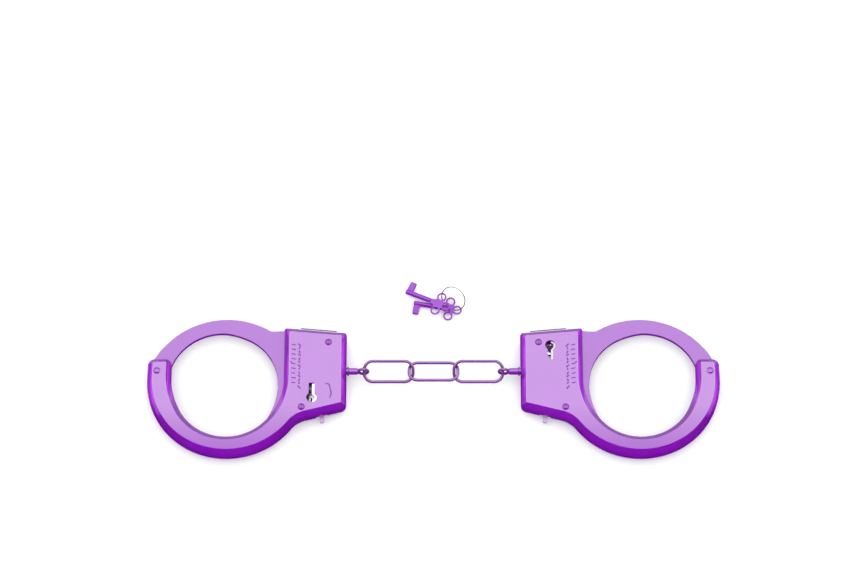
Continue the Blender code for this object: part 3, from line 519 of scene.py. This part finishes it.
def base_outline(front):
    """The widest outline of a cheek plate, anticlockwise, for the left cuff."""
    opened = LIP_HIGH
    shut = SEAM_HIGH
    step = 0.05
    tip_left = (ARM_LEFT_X, ARM_TIP_Y)
    tip_right = (ARM_RIGHT_X, ARM_TIP_Y)
    ring_left = (RING_X - RING_OUTER, RING_Y)
    rims = corner(tip_right, tip_left, ring_left, 3.6, 14, opened)
    rims += line_rims((ARM_LEFT_X, ARM_TIP_Y - 4.0), ring_left, -1.0, 0.0, opened, 4)
    seam_angle = 180.0 + math.degrees(math.asin((RING_Y - SEAM_OPEN_ABOVE_Y) / RING_OUTER))
    for i in range(7):
        angle = 180.0 + (seam_angle - 180.0) * i / 6
        nx, ny = unit(angle)
        rims.append(Rim(RING_X + nx * RING_OUTER, RING_Y + ny * RING_OUTER, nx, ny, opened))
    fillet = BOTTOM_FILLET
    tilt = math.radians(BOTTOM_SLOPE)
    down = Vector((math.sin(tilt), -math.cos(tilt)))
    along = Vector((-math.cos(tilt), -math.sin(tilt)))
    anchor = Vector((CHAIN_SIDE_X, BOTTOM_RIGHT_Y)) + down * fillet
    gap = anchor - Vector((RING_X, RING_Y))
    half_b = gap.dot(along)
    root = half_b * half_b - (gap.dot(gap) - (RING_OUTER + fillet) ** 2)
    centre = anchor + along * (-half_b - math.sqrt(root))
    join = math.degrees(math.atan2(centre.y - RING_Y, centre.x - RING_X)) + 360.0
    count = 90
    for i in range(count + 1):
        angle = seam_angle + 0.08 + (join - seam_angle - 0.08) * i / count
        nx, ny = unit(angle)
        rims.append(Rim(RING_X + nx * RING_OUTER, RING_Y + ny * RING_OUTER, nx, ny, shut))
    start = join - 180.0
    stop = math.degrees(math.atan2(-down.y, -down.x))
    for i in range(1, 13):
        nx, ny = unit(start + (stop - start) * i / 12)
        rims.append(Rim(centre.x + nx * fillet, centre.y + ny * fillet, -nx, -ny, shut))
    lever_x = joint_place("left_lever_turn").x
    notch = 2.7
    cut = shut if front else LEVER_NOTCH_HIGH
    for x, low in ((lever_x - notch - step, shut), (lever_x - notch, cut),
                   (lever_x + notch, cut), (lever_x + notch + step, shut)):
        rims.append(Rim(x, bottom_line_y(x), down.x, down.y, low))
    bottom_start = (-60.0, bottom_line_y(-60.0))
    bottom_right = (CHAIN_SIDE_X, BOTTOM_RIGHT_Y)
    top_right = (CHAIN_SIDE_X, TOP_RIGHT_Y)
    top_left = (JAW_SIDE_X, TOP_LEFT_Y)
    rims += corner(bottom_start, bottom_right, top_right, 3.2, 12, shut)
    notch = SWIVEL_POST + 0.35
    rims += line_rims(bottom_right, (CHAIN_SIDE_X, AXIS_Y - notch), 1.0, 0.0, shut, 8)[1:]
    rims.append(Rim(CHAIN_SIDE_X, AXIS_Y - notch - step, 1.0, 0.0, shut))
    for i in range(19):
        c, s = unit(180.0 - 10.0 * i)
        rims.append(Rim(CHAIN_SIDE_X, AXIS_Y + notch * c, 1.0, 0.0, max(MID + notch * s, shut)))
    rims.append(Rim(CHAIN_SIDE_X, AXIS_Y + notch + step, 1.0, 0.0, shut))
    rims += line_rims((CHAIN_SIDE_X, AXIS_Y + notch), top_right, 1.0, 0.0, shut, 8)[:-1]
    rims += corner(bottom_right, top_right, top_left, 1.4, 9, shut)
    north = Vector((TOP_LEFT_Y - TOP_RIGHT_Y, CHAIN_SIDE_X - JAW_SIDE_X)).normalized()
    for x, low in ((-47.3, shut), (-47.3 - step, 7.9), (-56.0, 7.9), (-65.4, 7.9), (-65.4 - step, shut),
                   (-70.4, shut), (-70.4 - step, opened)):
        rims.append(Rim(x, top_line_y(x), north.x, north.y, low))
    drop = math.cos(math.radians(BLEND_ANGLE))
    shift = (JAW_SIDE_X - WRIST_X - WRIST_RADIUS) / (1.0 - drop)
    big = WRIST_RADIUS + shift
    c, s = unit(BLEND_ANGLE)
    big_x = WRIST_X - shift * c
    big_y = WRIST_Y - shift * s
    rims += corner(top_right, top_left, (JAW_SIDE_X, big_y), 1.2, 9, opened)
    rims += line_rims(top_left, (JAW_SIDE_X, big_y), -1.0, 0.0, opened, 8)[1:]
    for i in range(33):
        nx, ny = unit(BLEND_ANGLE * i / 32)
        rims.append(Rim(big_x + nx * big, big_y + ny * big, -nx, -ny, opened))
    for i in range(1, 71):
        nx, ny = unit(BLEND_ANGLE + (ARM_BEND_ANGLE - BLEND_ANGLE) * i / 70)
        rims.append(Rim(WRIST_X + nx * WRIST_RADIUS, WRIST_Y + ny * WRIST_RADIUS, -nx, -ny, opened))
    rims += arm_bend(20, opened)
    bend_end = (ARM_RIGHT_X, ARM_BEND_TOP_Y)
    rims += line_rims(bend_end, (ARM_RIGHT_X, ARM_TIP_Y - 3.0), 1.0, 0.0, opened, 4)
    rims += corner(bend_end, tip_right, tip_left, 2.9, 12, opened)
    return rims


def keyhole(spot, side, extra=0.0):
    """Round hole with a straight slot; side is +1 for a slot that runs up, -1 for down."""
    half = KEYHOLE_SLOT / 2.0 + extra
    radius = KEYHOLE_RADIUS + extra
    open_angle = math.degrees(math.asin(half / radius))
    reach = KEYHOLE_REACH + extra
    loop = arc(spot[0], spot[1], radius, 90.0 + open_angle, 450.0 - open_angle, 40)
    loop += [(spot[0] + half, spot[1] + reach * 0.7), (spot[0] + half, spot[1] + reach - 0.3)]
    loop += [(spot[0] + half - 0.3, spot[1] + reach), (spot[0] - half + 0.3, spot[1] + reach)]
    loop += [(spot[0] - half, spot[1] + reach - 0.3), (spot[0] - half, spot[1] + reach * 0.7)]
    if side < 0:
        loop = [(p[0], 2.0 * spot[1] - p[1]) for p in loop]
    return loop


# the pressed wall from the lip up to the flat face, as (inset, height) pairs
SLOPE = ((0.0, 7.0), (0.75, 8.55))
BEND_INSET = 2.75
BEND_RADIUS = 1.3


def outer_wall():
    """Inset and height of the outside of the wall: two slopes and a rounded bend."""
    rows = [SLOPE[0], SLOPE[1]]
    lean = 47.0
    for i in range(7):
        c, s = unit(lean * (1.0 - i / 6.0))
        rows.append((BEND_INSET + 0.35 - BEND_RADIUS * s, TOP - BEND_RADIUS * (1.0 - c)))
    return rows


def wall_inset(rows, height):
    if height <= rows[0][1]:
        return rows[0][0]
    for low, high in zip(rows, rows[1:]):
        if height <= high[1]:
            return low[0] + (high[0] - low[0]) * (height - low[1]) / (high[1] - low[1])
    return rows[-1][0]


def cheek_plate(name, node, front, mirror, hole_loop, body):
    """Front or rear plate as pressed sheet: lip, wall, bend, flat face, and the same inside."""
    rims = base_outline(front)
    outside = outer_wall()
    inside = [(0.95, 7.0), (1.75, 8.45), (2.75, 9.45), (3.3, TOP - SHEET)]
    edge = 0.12

    def row(rows, rise, sideways):
        ring = []
        for rim in rims:
            height = rim.low + rise
            ring.append(rim.inset(wall_inset(rows, height) + sideways) + (height,))
        return ring

    def raised(rows, height):
        ring = []
        for rim in rims:
            level = max(height, rim.low + 0.25)
            ring.append(rim.inset(wall_inset(rows, level)) + (level,))
        return ring

    profile = [row(outside, 0.0, edge), row(outside, edge, 0.0), raised(outside, 7.0), raised(outside, 8.55)]
    for depth, height in outside[2:]:
        profile.append([rim.inset(depth) + (height,) for rim in rims])
    outer_count = len(profile)
    for depth, height in inside[:1:-1]:
        profile.append([rim.inset(depth) + (height,) for rim in rims])
    profile += [raised(inside, 8.45), raised(inside, 7.0), row(inside, 0.0, 0.0)]
    points = []
    loops = []
    for ring in profile:
        start = len(points)
        points += ring
        loops.append(list(range(start, start + len(ring))))
    faces = []
    for number in range(len(loops) - 1):
        if number != outer_count - 1:
            faces += wall(loops[number], loops[number + 1])
    faces += wall(loops[-1], loops[0])
    holes = [circle(spot[0], spot[1], RIVET_HOLE, 32) for spot in (HINGE, UPPER_RIVET, LOWER_RIVET)]
    if hole_loop is not None:
        holes.append(hole_loop)
    tops = [loops[outer_count - 1]]
    bottoms = [loops[outer_count]]
    for hole in holes:
        hole = anticlockwise(hole)
        rings = []
        for widen, height in ((0.15, TOP), (0.04, TOP - 0.05), (0.0, TOP - 0.15), (0.0, TOP - SHEET)):
            start = len(points)
            points += [(p[0], p[1], height) for p in grown(hole, -widen)]
            rings.append(list(range(start, start + len(hole))))
        for upper, lower in zip(rings, rings[1:]):
            faces += wall(lower, upper)
        tops.append(rings[0])
        bottoms.append(rings[-1])
    faces += cap(points, tops)
    faces += cap(points, bottoms)
    if not front:
        points = [(p[0], p[1], 2.0 * MID - p[2]) for p in points]
    made = piece(name, points, faces, SHELL_WITH_PAINTED_SHADE, body, mirror, smooth=38.0)
    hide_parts(node)
    return made


# ---------------------------------------------------------------- jaw

def jaw_inner_edge(steps):
    """Inner edge of the shut jaw: a round top that tightens a little towards the housing."""
    points = []
    for i in range(steps + 1):
        angle = 172.0 - 172.0 * i / steps
        share = min(1.0, max(0.0, (88.0 - angle) / 22.0))
        c, s = unit(angle)
        radius = 26.6 - 1.0 * share
        points.append((-103.5 + 1.6 * share + radius * c, AXIS_Y - 7.0 + 0.1 * share + radius * s))
    return points


def jaw_outline():
    """Outline of the ratchet jaw when it is shut, left cuff."""
    points = jaw_inner_edge(120)
    points += arc(-113.45, AXIS_Y - 6.4, 37.4, -3.5, -36.0, 34)
    points += [(-82.9, AXIS_Y - 30.6), (-82.3, AXIS_Y - 31.5), (-81.2, AXIS_Y - 32.3), (-79.9, AXIS_Y - 32.8)]
    points += [(-78.6, AXIS_Y - 32.7), (-77.4, AXIS_Y - 31.9)]
    for k in range(TOOTH_COUNT):
        angle = FIRST_TOOTH + TOOTH_PITCH * k
        for radius, at in ((TOOTH_ROOT, angle - TOOTH_PITCH + 0.14), (TOOTH_TIP, angle - 0.12),
                           (TOOTH_TIP, angle - 0.02)):
            c, s = unit(at)
            points.append((HINGE.x + radius * c, HINGE.y + radius * s))
    last = FIRST_TOOTH + TOOTH_PITCH * (TOOTH_COUNT - 1)
    points += arc(HINGE.x, HINGE.y, TOOTH_ROOT, last + 0.14, 17.6, 8)
    points += [(-72.0, AXIS_Y + 20.7), (-73.4, AXIS_Y + 21.05)]
    points += [(-76.0, AXIS_Y + 20.85), (-78.2, AXIS_Y + 20.75), (-79.4, AXIS_Y + 20.8)]
    points += [(-80.4, AXIS_Y + 21.05), (-81.0, AXIS_Y + 21.35)]
    points += arc(-101.5, AXIS_Y - 12.9, 39.95, 59.6, 140.0, 72)
    points += [(-133.1, AXIS_Y + 11.8), (-134.2, AXIS_Y + 10.4), (-135.1, AXIS_Y + 9.1)]
    points += [(-135.9, AXIS_Y + 7.8), (-136.9, AXIS_Y + 6.0), (-138.0, AXIS_Y + 3.6)]
    points += arc(HINGE.x, HINGE.y, JAW_EYE, 158.0, 330.0, 24)
    return points


def make_jaw(side, mirror):
    bore = circle(HINGE.x, HINGE.y, JAW_BORE, 32)
    points, faces = rounded_prism(jaw_outline(), [bore], JAW_LOW, JAW_HIGH, 0.28, 3, 0.15)
    made = piece(side + "_jaw_strand", points, faces, JAW, side + "_jaw_body", mirror)
    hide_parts(side + "_jaw")


# ---------------------------------------------------------------- rivets, marks and liners

def make_rivet(side, label, spot, mirror, body):
    """Rivet with a low cone-sided head on the front, a flush tail and the spacer between."""
    head = TOP - 0.04
    profile = [(0.0, 0.06), (1.1, 0.06), (1.35, 0.12), (1.45, 0.3), (1.45, 1.2)]
    if label == "hinge":
        profile += [(1.8, 1.3), (2.6, 3.0), (2.6, 3.9), (1.5, 3.9)]
        profile += [(1.5, 6.7), (2.6, 6.7), (2.6, 7.6), (1.8, 9.3)]
    elif label == "lower":
        profile += [(1.8, 1.3), (2.6, 3.0), (2.6, 7.6), (1.8, 9.3)]
    else:
        profile += [(2.6, 1.3), (2.6, 9.3)]
    profile += [(1.45, 9.4), (1.45, head - 0.02), (RIVET_HEAD, head - 0.02), (RIVET_HEAD, head + 0.05)]
    profile += [(RIVET_HEAD - 0.12, head + 0.16), (0.85, RIVET_TOP - 0.06), (0.65, RIVET_TOP - 0.01)]
    profile.append((0.0, RIVET_TOP))
    points, faces = lathe(profile, spot, 40)
    # painted shade: the darker rivet coat stands in for the shade on the domed heads
    look = JAW if label == "hinge" else RIVET_WITH_PAINTED_SHADE
    slot = side + "_" + label + "_rivet"
    made = piece(slot + "_turned", points, faces, look, body, mirror)
    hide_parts(slot)


def ridge(loop, low, high, edge):
    return rounded_prism(loop, [], low, high, edge, 2)


def stroke(start, stop, width):
    """Outline of a straight stroke between two points, anticlockwise."""
    first = Vector(start)
    second = Vector(stop)
    along = (second - first).normalized()
    across = Vector((-along.y, along.x)) * (width / 2.0)
    return [tuple(first - across), tuple(second - across), tuple(second + across), tuple(first + across)]


def make_marks(side, mirror, body):
    """Generic stamped tally strokes in the strip beside the jaw; they spell nothing. Their darker colour is
    painted shade.
    """
    strokes = []
    top_y = AXIS_Y + 12.6
    for k in range(13):
        y = top_y - 1.85 * k
        length = (1.5, 1.0, 1.35, 0.8)[k % 4]
        lean = (0.5, -0.4, 0.15)[k % 3]
        strokes.append(((-65.8 - lean, y), (-65.4 + lean, y - length), 0.6))
    for k in range(9):
        y = top_y - 0.3 - 2.5 * k
        strokes.append(((-69.4, y), (-67.6 + 0.3 * (k % 2), y - 0.4), 0.5))
    strokes.append(((-70.0, AXIS_Y + 3.4), (-69.4, AXIS_Y + 2.4), 0.5))
    for number, (start, stop, width) in enumerate(strokes):
        points, faces = ridge(stroke(start, stop, width), TOP - 0.1, TOP + 0.12, 0.1)
        name = "%s_stamped_bar_%02d" % (side, number + 1)
        piece(name, points, faces, SHADE_PAINTED_MARK, body, mirror)


def make_arrow_ridge(side, mirror, body):
    """Bent stamped ridge beside the keyhole; only the left cuff has one. Its darker colour is painted shade.
    """
    bends = [(x, AXIS_Y + y) for x, y in ((-52.8, -8.3), (-51.0, -8.7), (-49.8, -13.2), (-50.5, -15.9))]
    for number, (start, stop) in enumerate(zip(bends, bends[1:])):
        points, faces = ridge(stroke(start, stop, 0.5), TOP - 0.1, TOP + 0.16, 0.14)
        name = "%s_bent_ridge_%d" % (side, number + 1)
        piece(name, points, faces, SHADE_PAINTED_MARK, body, mirror)


def make_slot_lip(side, mirror, body):
    """Rolled lip along the long slot in the north wall; its darker colour is painted shade of the slot."""
    start, stop = [(x, top_line_y(x) + 0.38) for x in (-65.2, -47.6)]
    points, faces = rounded_prism(stroke(start, stop, 0.45), [], 7.0, 7.45, 0.15, 3)
    piece(side + "_slot_lip", points, faces, SHADE_PAINTED_MARK, body, mirror)


def make_keyhole_liner(side, spot, run, mirror, body):
    """Steel shoulder seen in one half of the keyhole, and the steel bed below it."""
    hand = -1.0 if mirror else 1.0
    half = KEYHOLE_SLOT / 2.0
    inner = [(0.25, KEYHOLE_REACH), (0.25, 2.2)]
    outer = [(half + 0.6, KEYHOLE_REACH + 0.6), (half + 0.6, 2.6)]
    for k in range(13):
        c, s = unit(55.0 - 140.0 * k / 12)
        inner.append((0.2 + 1.45 * c, 1.55 * s))
        outer.append((3.4 * c, 3.4 * s))
    loop = [(spot[0] + hand * x, spot[1] + run * y) for x, y in inner + outer[::-1]]
    points, faces = ridge(loop, TOP - 2.0, TOP - SHEET - 0.05, 0.1)
    # painted shade: the right cuff takes the darker copy of the steel
    look = SHADE_PAINTED_STEEL if mirror else BRIGHT
    piece(side + "_keyhole_shoulder", points, faces, look, body, mirror)
    bed = circle(spot[0], spot[1] + 2.0 * run, 6.2, 40)
    hole = circle(spot[0], spot[1], 2.0, 24)
    points, faces = rounded_prism(bed, [hole], 0.95, 1.12, 0.04, 1)
    piece(side + "_lock_bed", points, faces, look, body, mirror)


def make_key_post(side, spot, mirror, body):
    profile = [(0.0, 1.2), (1.6, 1.2), (1.7, 1.3), (1.7, 1.9), (1.6, 2.0), (0.6, 2.05), (0.5, 2.15)]
    profile += [(0.5, 9.8), (0.42, 10.05), (0.3, 10.2), (0.15, 10.28), (0.0, 10.3)]
    points, faces = lathe(profile, spot, 28)
    made = piece(side + "_key_post_turned", points, faces, BRIGHT, body, mirror)
    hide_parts(side + "_key_post")


# ---------------------------------------------------------------- swivels and chain

def make_swivel(side, mirror):
    """Headed post with a collar and an eye; the collar and head are turned."""
    profile = [(-46.2, 0.0), (-46.2, 2.2), (-46.1, 2.55), (-45.85, 2.7), (-45.2, 2.7), (-45.02, 2.6),
               (-45.0, 2.4), (-45.0, SWIVEL_POST), (-42.3, SWIVEL_POST), (-42.3, 2.0), (-42.22, 2.15),
               (-42.1, 2.2), (-41.85, 2.2), (-41.7, 2.1), (-41.6, 1.85), (-41.5, SWIVEL_POST),
               (-38.0, SWIVEL_POST), (-37.4, 1.54), (-36.9, 1.34), (-36.5, 0.9), (-36.3, 0.0)]
    points, faces = lathe([(r, x) for x, r in profile], (0.0, 0.0), 40)
    points = [(p[2], p[0], p[1]) for p in points]
    tilt = Matrix.Translation((0.0, AXIS_Y, MID)) @ Matrix.Rotation(math.radians(EYE_TILT), 4, "X")
    slot = side + "_swivel"
    body = side + "_swivel_body"
    sign = -1.0 if mirror else 1.0
    flip = Matrix.Diagonal((sign, 1.0, 1.0, 1.0))
    post = piece(side + "_swivel_post", moved(points, tilt @ flip), faces, JAW, body)
    ring = []
    major = 56
    minor = 28
    for i in range(major):
        c, s = unit(360.0 * i / major)
        for k in range(minor):
            a, b = unit(360.0 * k / minor)
            radius = EYE_MAJOR + EYE_SKIN * a
            ring.append((EYE_X + radius * c, EYE_SKIN * b, radius * s))
    faces = []
    for i in range(major):
        j = (i + 1) % major
        for k in range(minor):
            m = (k + 1) % minor
            faces.append((i * minor + k, i * minor + m, j * minor + m, j * minor + k))
    piece(side + "_swivel_eye", moved(ring, tilt @ flip), faces, CHAIN, body, weighted=False)
    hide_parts(slot)


def make_link(number, centre_x, tilt):
    """Wire link: a round wire bent into a rounded oblong."""
    half = LINK_LENGTH / 2.0 - LINK_CORNER
    side = LINK_WIDTH / 2.0 - LINK_CORNER
    path = []
    corners = ((half, side, 0.0), (-half, side, 90.0), (-half, -side, 180.0), (half, -side, 270.0))
    for cx, cy, start in corners:
        path += [(x, y, 0.0) for x, y in arc(cx, cy, LINK_CORNER, start, start + 90.0, 18)]
        if start in (0.0, 180.0):
            sign = 1.0 if start == 0.0 else -1.0
            across = sign * LINK_WIDTH / 2.0
            path += [(sign * half * (1.0 - 2.0 * i / 12), across, 0.0) for i in range(1, 12)]
    points, faces = closed_tube(path, WIRE, 24, Vector((0.0, 0.0, 1.0)))
    place = Matrix.Translation((centre_x, AXIS_Y, MID)) @ Matrix.Rotation(math.radians(tilt), 4, "X")
    node = "chain_link_%d" % number
    body = "link_%d_body" % number
    made = piece(node + "_wire", moved(points, place), faces, CHAIN, body, weighted=False)
    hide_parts(node)


# ---------------------------------------------------------------- keys

def key_frame(spec):
    x, y, z, heading, dip = spec
    place = Matrix.Translation((x, y, z)) @ Matrix.Rotation(math.radians(heading), 4, "Z")
    return place @ Matrix.Rotation(math.radians(dip), 4, "Y")


def make_key(number, spec, bit_side):
    """Key with a three-lobed bow, a hollow shaft and a flat bit."""
    place = key_frame(spec)
    node = "key_%d" % number
    body = node + "_body"
    # painted shade: key 2 takes the darker copy of the key coat
    look = KEYS if number == 1 else SHADE_PAINTED_KEYS
    half = KEY_PLATE / 2.0
    bow = [(5.6, -1.1), (5.6, 1.1), (4.6, 1.15), (3.6, 1.25), (2.8, 1.45), (2.2, 1.75), (1.9, 2.1)]
    bow += arc(0.0, LOBE_OFFSET, LOBE_RADIUS, -40.0, 220.0, 44)
    bow += arc(-LOBE_OFFSET, 0.0, LOBE_RADIUS, 50.0, 310.0, 46)
    bow += arc(0.0, -LOBE_OFFSET, LOBE_RADIUS, 140.0, 400.0, 44)
    bow += [(1.9, -2.1), (2.2, -1.75), (2.8, -1.45), (3.6, -1.25), (4.6, -1.15)]
    holes = []
    for cx, cy in ((-LOBE_OFFSET, 0.0), (0.0, LOBE_OFFSET), (0.0, -LOBE_OFFSET)):
        holes.append(circle(cx, cy, LOBE_HOLE, 36))
    points, faces = rounded_prism(bow, holes, -half, half, 0.16, 3)
    made = piece(node + "_bow", moved(points, place), faces, look, body)
    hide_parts(node)
    profile = [(0.0, 4.3), (0.7, 4.3), (1.0, 4.45), (1.16, 4.7), (KEY_SHAFT, 5.0)]
    profile += [(KEY_SHAFT, 6.2), (KEY_SHAFT + 0.02, 6.3), (KEY_SHAFT, 6.4)]
    profile += [(KEY_SHAFT, KEY_LENGTH - 0.2), (KEY_SHAFT - 0.06, KEY_LENGTH - 0.06)]
    profile += [(KEY_SHAFT - 0.2, KEY_LENGTH)]
    profile += [(KEY_BORE + 0.06, KEY_LENGTH), (KEY_BORE, KEY_LENGTH - 0.06), (KEY_BORE, KEY_LENGTH - 7.0)]
    profile += [(0.0, KEY_LENGTH - 7.2)]
    tube, faces = lathe(profile, (0.0, 0.0), 36)
    shaft = [(p[2], p[0], p[1]) for p in tube]
    piece(node + "_shaft", moved(shaft, place), faces, look, body)
    back = KEY_LENGTH - BIT_LENGTH
    bit = [(back, bit_side * 0.9), (KEY_LENGTH - 0.1, bit_side * 0.9)]
    bit += [(KEY_LENGTH - 0.1, bit_side * (BIT_REACH - 0.5))]
    bit += [(KEY_LENGTH - 0.25, bit_side * (BIT_REACH - 0.15))]
    bit += [(KEY_LENGTH - 0.6, bit_side * BIT_REACH), (back + 0.2, bit_side * BIT_REACH)]
    bit += [(back, bit_side * (BIT_REACH - 0.2))]
    points, faces = rounded_prism(bit, [], -BIT_THICK / 2.0, BIT_THICK / 2.0, 0.14, 3)
    piece(node + "_bit", moved(points, place), faces, look, body)


def make_key_ring():
    """Thin split ring: the wire threads one hole of each key."""
    first = key_frame(TOP_KEY) @ Vector((0.0, -LOBE_OFFSET, 0.0))
    second = key_frame(LOW_KEY) @ Vector((-LOBE_OFFSET, 0.0, 0.0))
    along = (second - first).normalized()
    level = Vector((-along.y, along.x, 0.0)).normalized()
    lift = along.cross(level)
    if lift.z < 0.0:
        lift = -lift
    inward = level * math.cos(math.radians(KEY_RING_TILT)) + lift * math.sin(math.radians(KEY_RING_TILT))
    half = (second - first).length / 2.0
    centre = (first + second) / 2.0 + inward * math.sqrt(KEY_RING * KEY_RING - half * half)
    path = []
    for i in range(120):
        c, s = unit(3.0 * i)
        path.append(tuple(centre + along * (KEY_RING * c) + inward * (KEY_RING * s)))
    points, faces = closed_tube(path, KEY_WIRE, 16, along.cross(inward))
    made = piece("key_ring_wire", points, faces, PLAIN, "key_ring_body", weighted=False)
    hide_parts("key_ring")


# ---------------------------------------------------------------- the whole object

def make_cuff(side, mirror):
    left = side == "left"
    body = side + "_cuff"
    spot = LEFT_KEYHOLE if left else RIGHT_KEYHOLE
    run = 1 if left else -1
    cheek_plate(side + "_front_cheek", side + "_front_plate", True, mirror, keyhole(spot, run), body)
    cheek_plate(side + "_rear_cheek", side + "_rear_plate", False, mirror, None, body)
    make_jaw(side, mirror)
    for label, place in (("hinge", HINGE), ("upper", UPPER_RIVET), ("lower", LOWER_RIVET)):
        make_rivet(side, label, place, mirror, body)
    make_marks(side, mirror, body)
    make_slot_lip(side, mirror, body)
    if left:
        make_arrow_ridge(side, mirror, body)
    make_keyhole_liner(side, spot, run, mirror, body)
    make_key_post(side, spot, mirror, body)
    make_swivel(side, mirror)


def dress_cad_nodes():
    """Give the lock's small parts, which keep their CAD shape, their own finish."""
    for side in ("left", "right"):
        for label in ("release_lever", "pawl", "pawl_pin", "lever_pin", "pawl_spring"):
            node = frame["nodes"][side + "_" + label]
            node.data.materials.clear()
            node.data.materials.append(LEVER if label == "release_lever" else PLAIN)
            bevel = node.modifiers.new("edge", "BEVEL")
            bevel.width = 0.12 * MM
            bevel.segments = 2
            bevel.limit_method = "ANGLE"
            bevel.angle_limit = math.radians(40.0)


# ---------------------------------------------------------------- stage, light and camera

TENT_STRENGTH = 1.5
FLOOR_GLOW = 0.07
PANEL_DISTANCE = 1.5
PANEL_TILT = 22.0
# colours of the panels that the walls reflect; they bring out the coat's deep purple
DEEP_PURPLE = (0.40, 0.0, 1.0)
PALE_PURPLE = (0.75, 0.25, 0.95)
WALL_PURPLE = (0.64, 0.09, 1.0)


def make_floor():
    """Pale light table: it glows a little, so shadows stay thin, and the gloss doesn't mirror it."""
    mesh = bpy.data.meshes.new("floor")
    size = 3.0
    z = -0.00005
    corners = [(-size, -size, z), (size, -size, z), (size, size, z), (-size, size, z)]
    mesh.from_pydata(corners, [], [(0, 1, 2, 3)])
    floor = bpy.data.objects.new("floor", mesh)
    bpy.context.scene.collection.objects.link(floor)
    made, tree, shader = new_material("pale_floor")
    place = tree.nodes.new("ShaderNodeTexCoord")
    grain = noise(tree, 30.0, 3.0, place.outputs["Object"])
    tree.links.new(ramp(tree, grain.outputs["Fac"], (0.85, 0.85, 0.85), (0.88, 0.88, 0.88), 0.3, 0.7),
                   shader.inputs["Base Color"])
    shader.inputs["Roughness"].default_value = 0.8
    shader.inputs["IOR"].default_value = 1.2
    shader.inputs["Emission Color"].default_value = (1.0, 1.0, 1.0, 1.0)
    shader.inputs["Emission Strength"].default_value = FLOOR_GLOW
    mesh.materials.append(made)
    floor.visible_glossy = False


def reflected_panel(name, direction, wide, deep, radiance, colour=(1.0, 1.0, 1.0)):
    """Large panel that shows only as a reflection; direction points from the object to the panel."""
    light = bpy.data.lights.new(name, "AREA")
    light.shape = "RECTANGLE"
    light.size = wide
    light.size_y = deep
    light.energy = radiance * math.pi * wide * deep
    light.color = colour
    made = bpy.data.objects.new(name, light)
    made.location = Vector(direction).normalized() * PANEL_DISTANCE
    made.rotation_mode = "QUATERNION"
    made.rotation_quaternion = Vector(direction).to_track_quat("Z", "Y")
    made.visible_diffuse = False
    bpy.context.scene.collection.objects.link(made)


def make_world():
    """Even white tent round the object, which lights it but doesn't show in its gloss."""
    world = bpy.data.worlds.new("studio")
    bpy.context.scene.world = world
    world.use_nodes = True
    back = world.node_tree.nodes["Background"]
    back.inputs["Color"].default_value = (1.0, 1.0, 1.0, 1.0)
    back.inputs["Strength"].default_value = TENT_STRENGTH
    world.cycles_visibility.glossy = False


def make_lights():
    make_world()
    c, s = unit(PANEL_TILT)
    reflected_panel("panel_top", (0.0, s, c), 3.2, 2.2, 2.5)
    reflected_panel("panel_front_edge", (0.0, -0.20, 0.98), 3.0, 0.2, 4.5, PALE_PURPLE)
    reflected_panel("panel_front", (0.0, -1.0, 0.25), 3.0, 1.2, 0.5, DEEP_PURPLE)
    reflected_panel("panel_back", (0.0, 1.0, 0.12), 3.2, 0.9, 0.5)
    reflected_panel("panel_back_low", (0.0, 0.88, -0.47), 3.2, 1.0, 0.5)
    for name, sign in (("panel_left", -1.0), ("panel_right", 1.0)):
        reflected_panel(name, (sign, 0.35, 0.75), 1.0, 0.8, 1.2)
        reflected_panel(name + "_low", (sign, 0.35, 0.05), 1.6, 0.8, 1.7, PALE_PURPLE)
        reflected_panel(name + "_under", (sign, 0.43, -0.37), 1.2, 0.8, 1.3, WALL_PURPLE)


CAMERA_ELEVATION = 68.0
CAMERA_DISTANCE = 1.51
FOCAL = 130.4
SHIFT_X = -0.010
SHIFT_Y = 0.1035


def make_camera():
    camera = bpy.data.cameras.new("camera")
    camera.lens = FOCAL
    camera.sensor_width = 36.0
    camera.shift_x = SHIFT_X
    camera.shift_y = SHIFT_Y
    camera.clip_start = 0.1
    camera.clip_end = 20.0
    made = bpy.data.objects.new("camera", camera)
    c, s = unit(CAMERA_ELEVATION)
    back = Vector((0.0, -c, s))
    target = Vector((0.0, AXIS_Y * MM, MID * MM))
    made.location = target + back * CAMERA_DISTANCE
    made.rotation_mode = "QUATERNION"
    made.rotation_quaternion = (-back).to_track_quat("-Z", "Y")
    bpy.context.scene.collection.objects.link(made)
    bpy.context.scene.camera = made


make_cuff("left", False)
make_cuff("right", True)
first_link_x = EYE_X + EYE_MAJOR - EYE_RIM - WIRE - 0.3 + LINK_LENGTH / 2.0
make_link(1, first_link_x, OUTER_LINK_TILT)
make_link(2, 0.0, MIDDLE_LINK_TILT)
make_link(3, -first_link_x, OUTER_LINK_TILT)
make_key(1, TOP_KEY, -1)
make_key(2, LOW_KEY, 1)
make_key_ring()
dress_cad_nodes()
make_floor()
make_lights()
make_camera()
bpy.context.scene.view_settings.view_transform = "Standard"
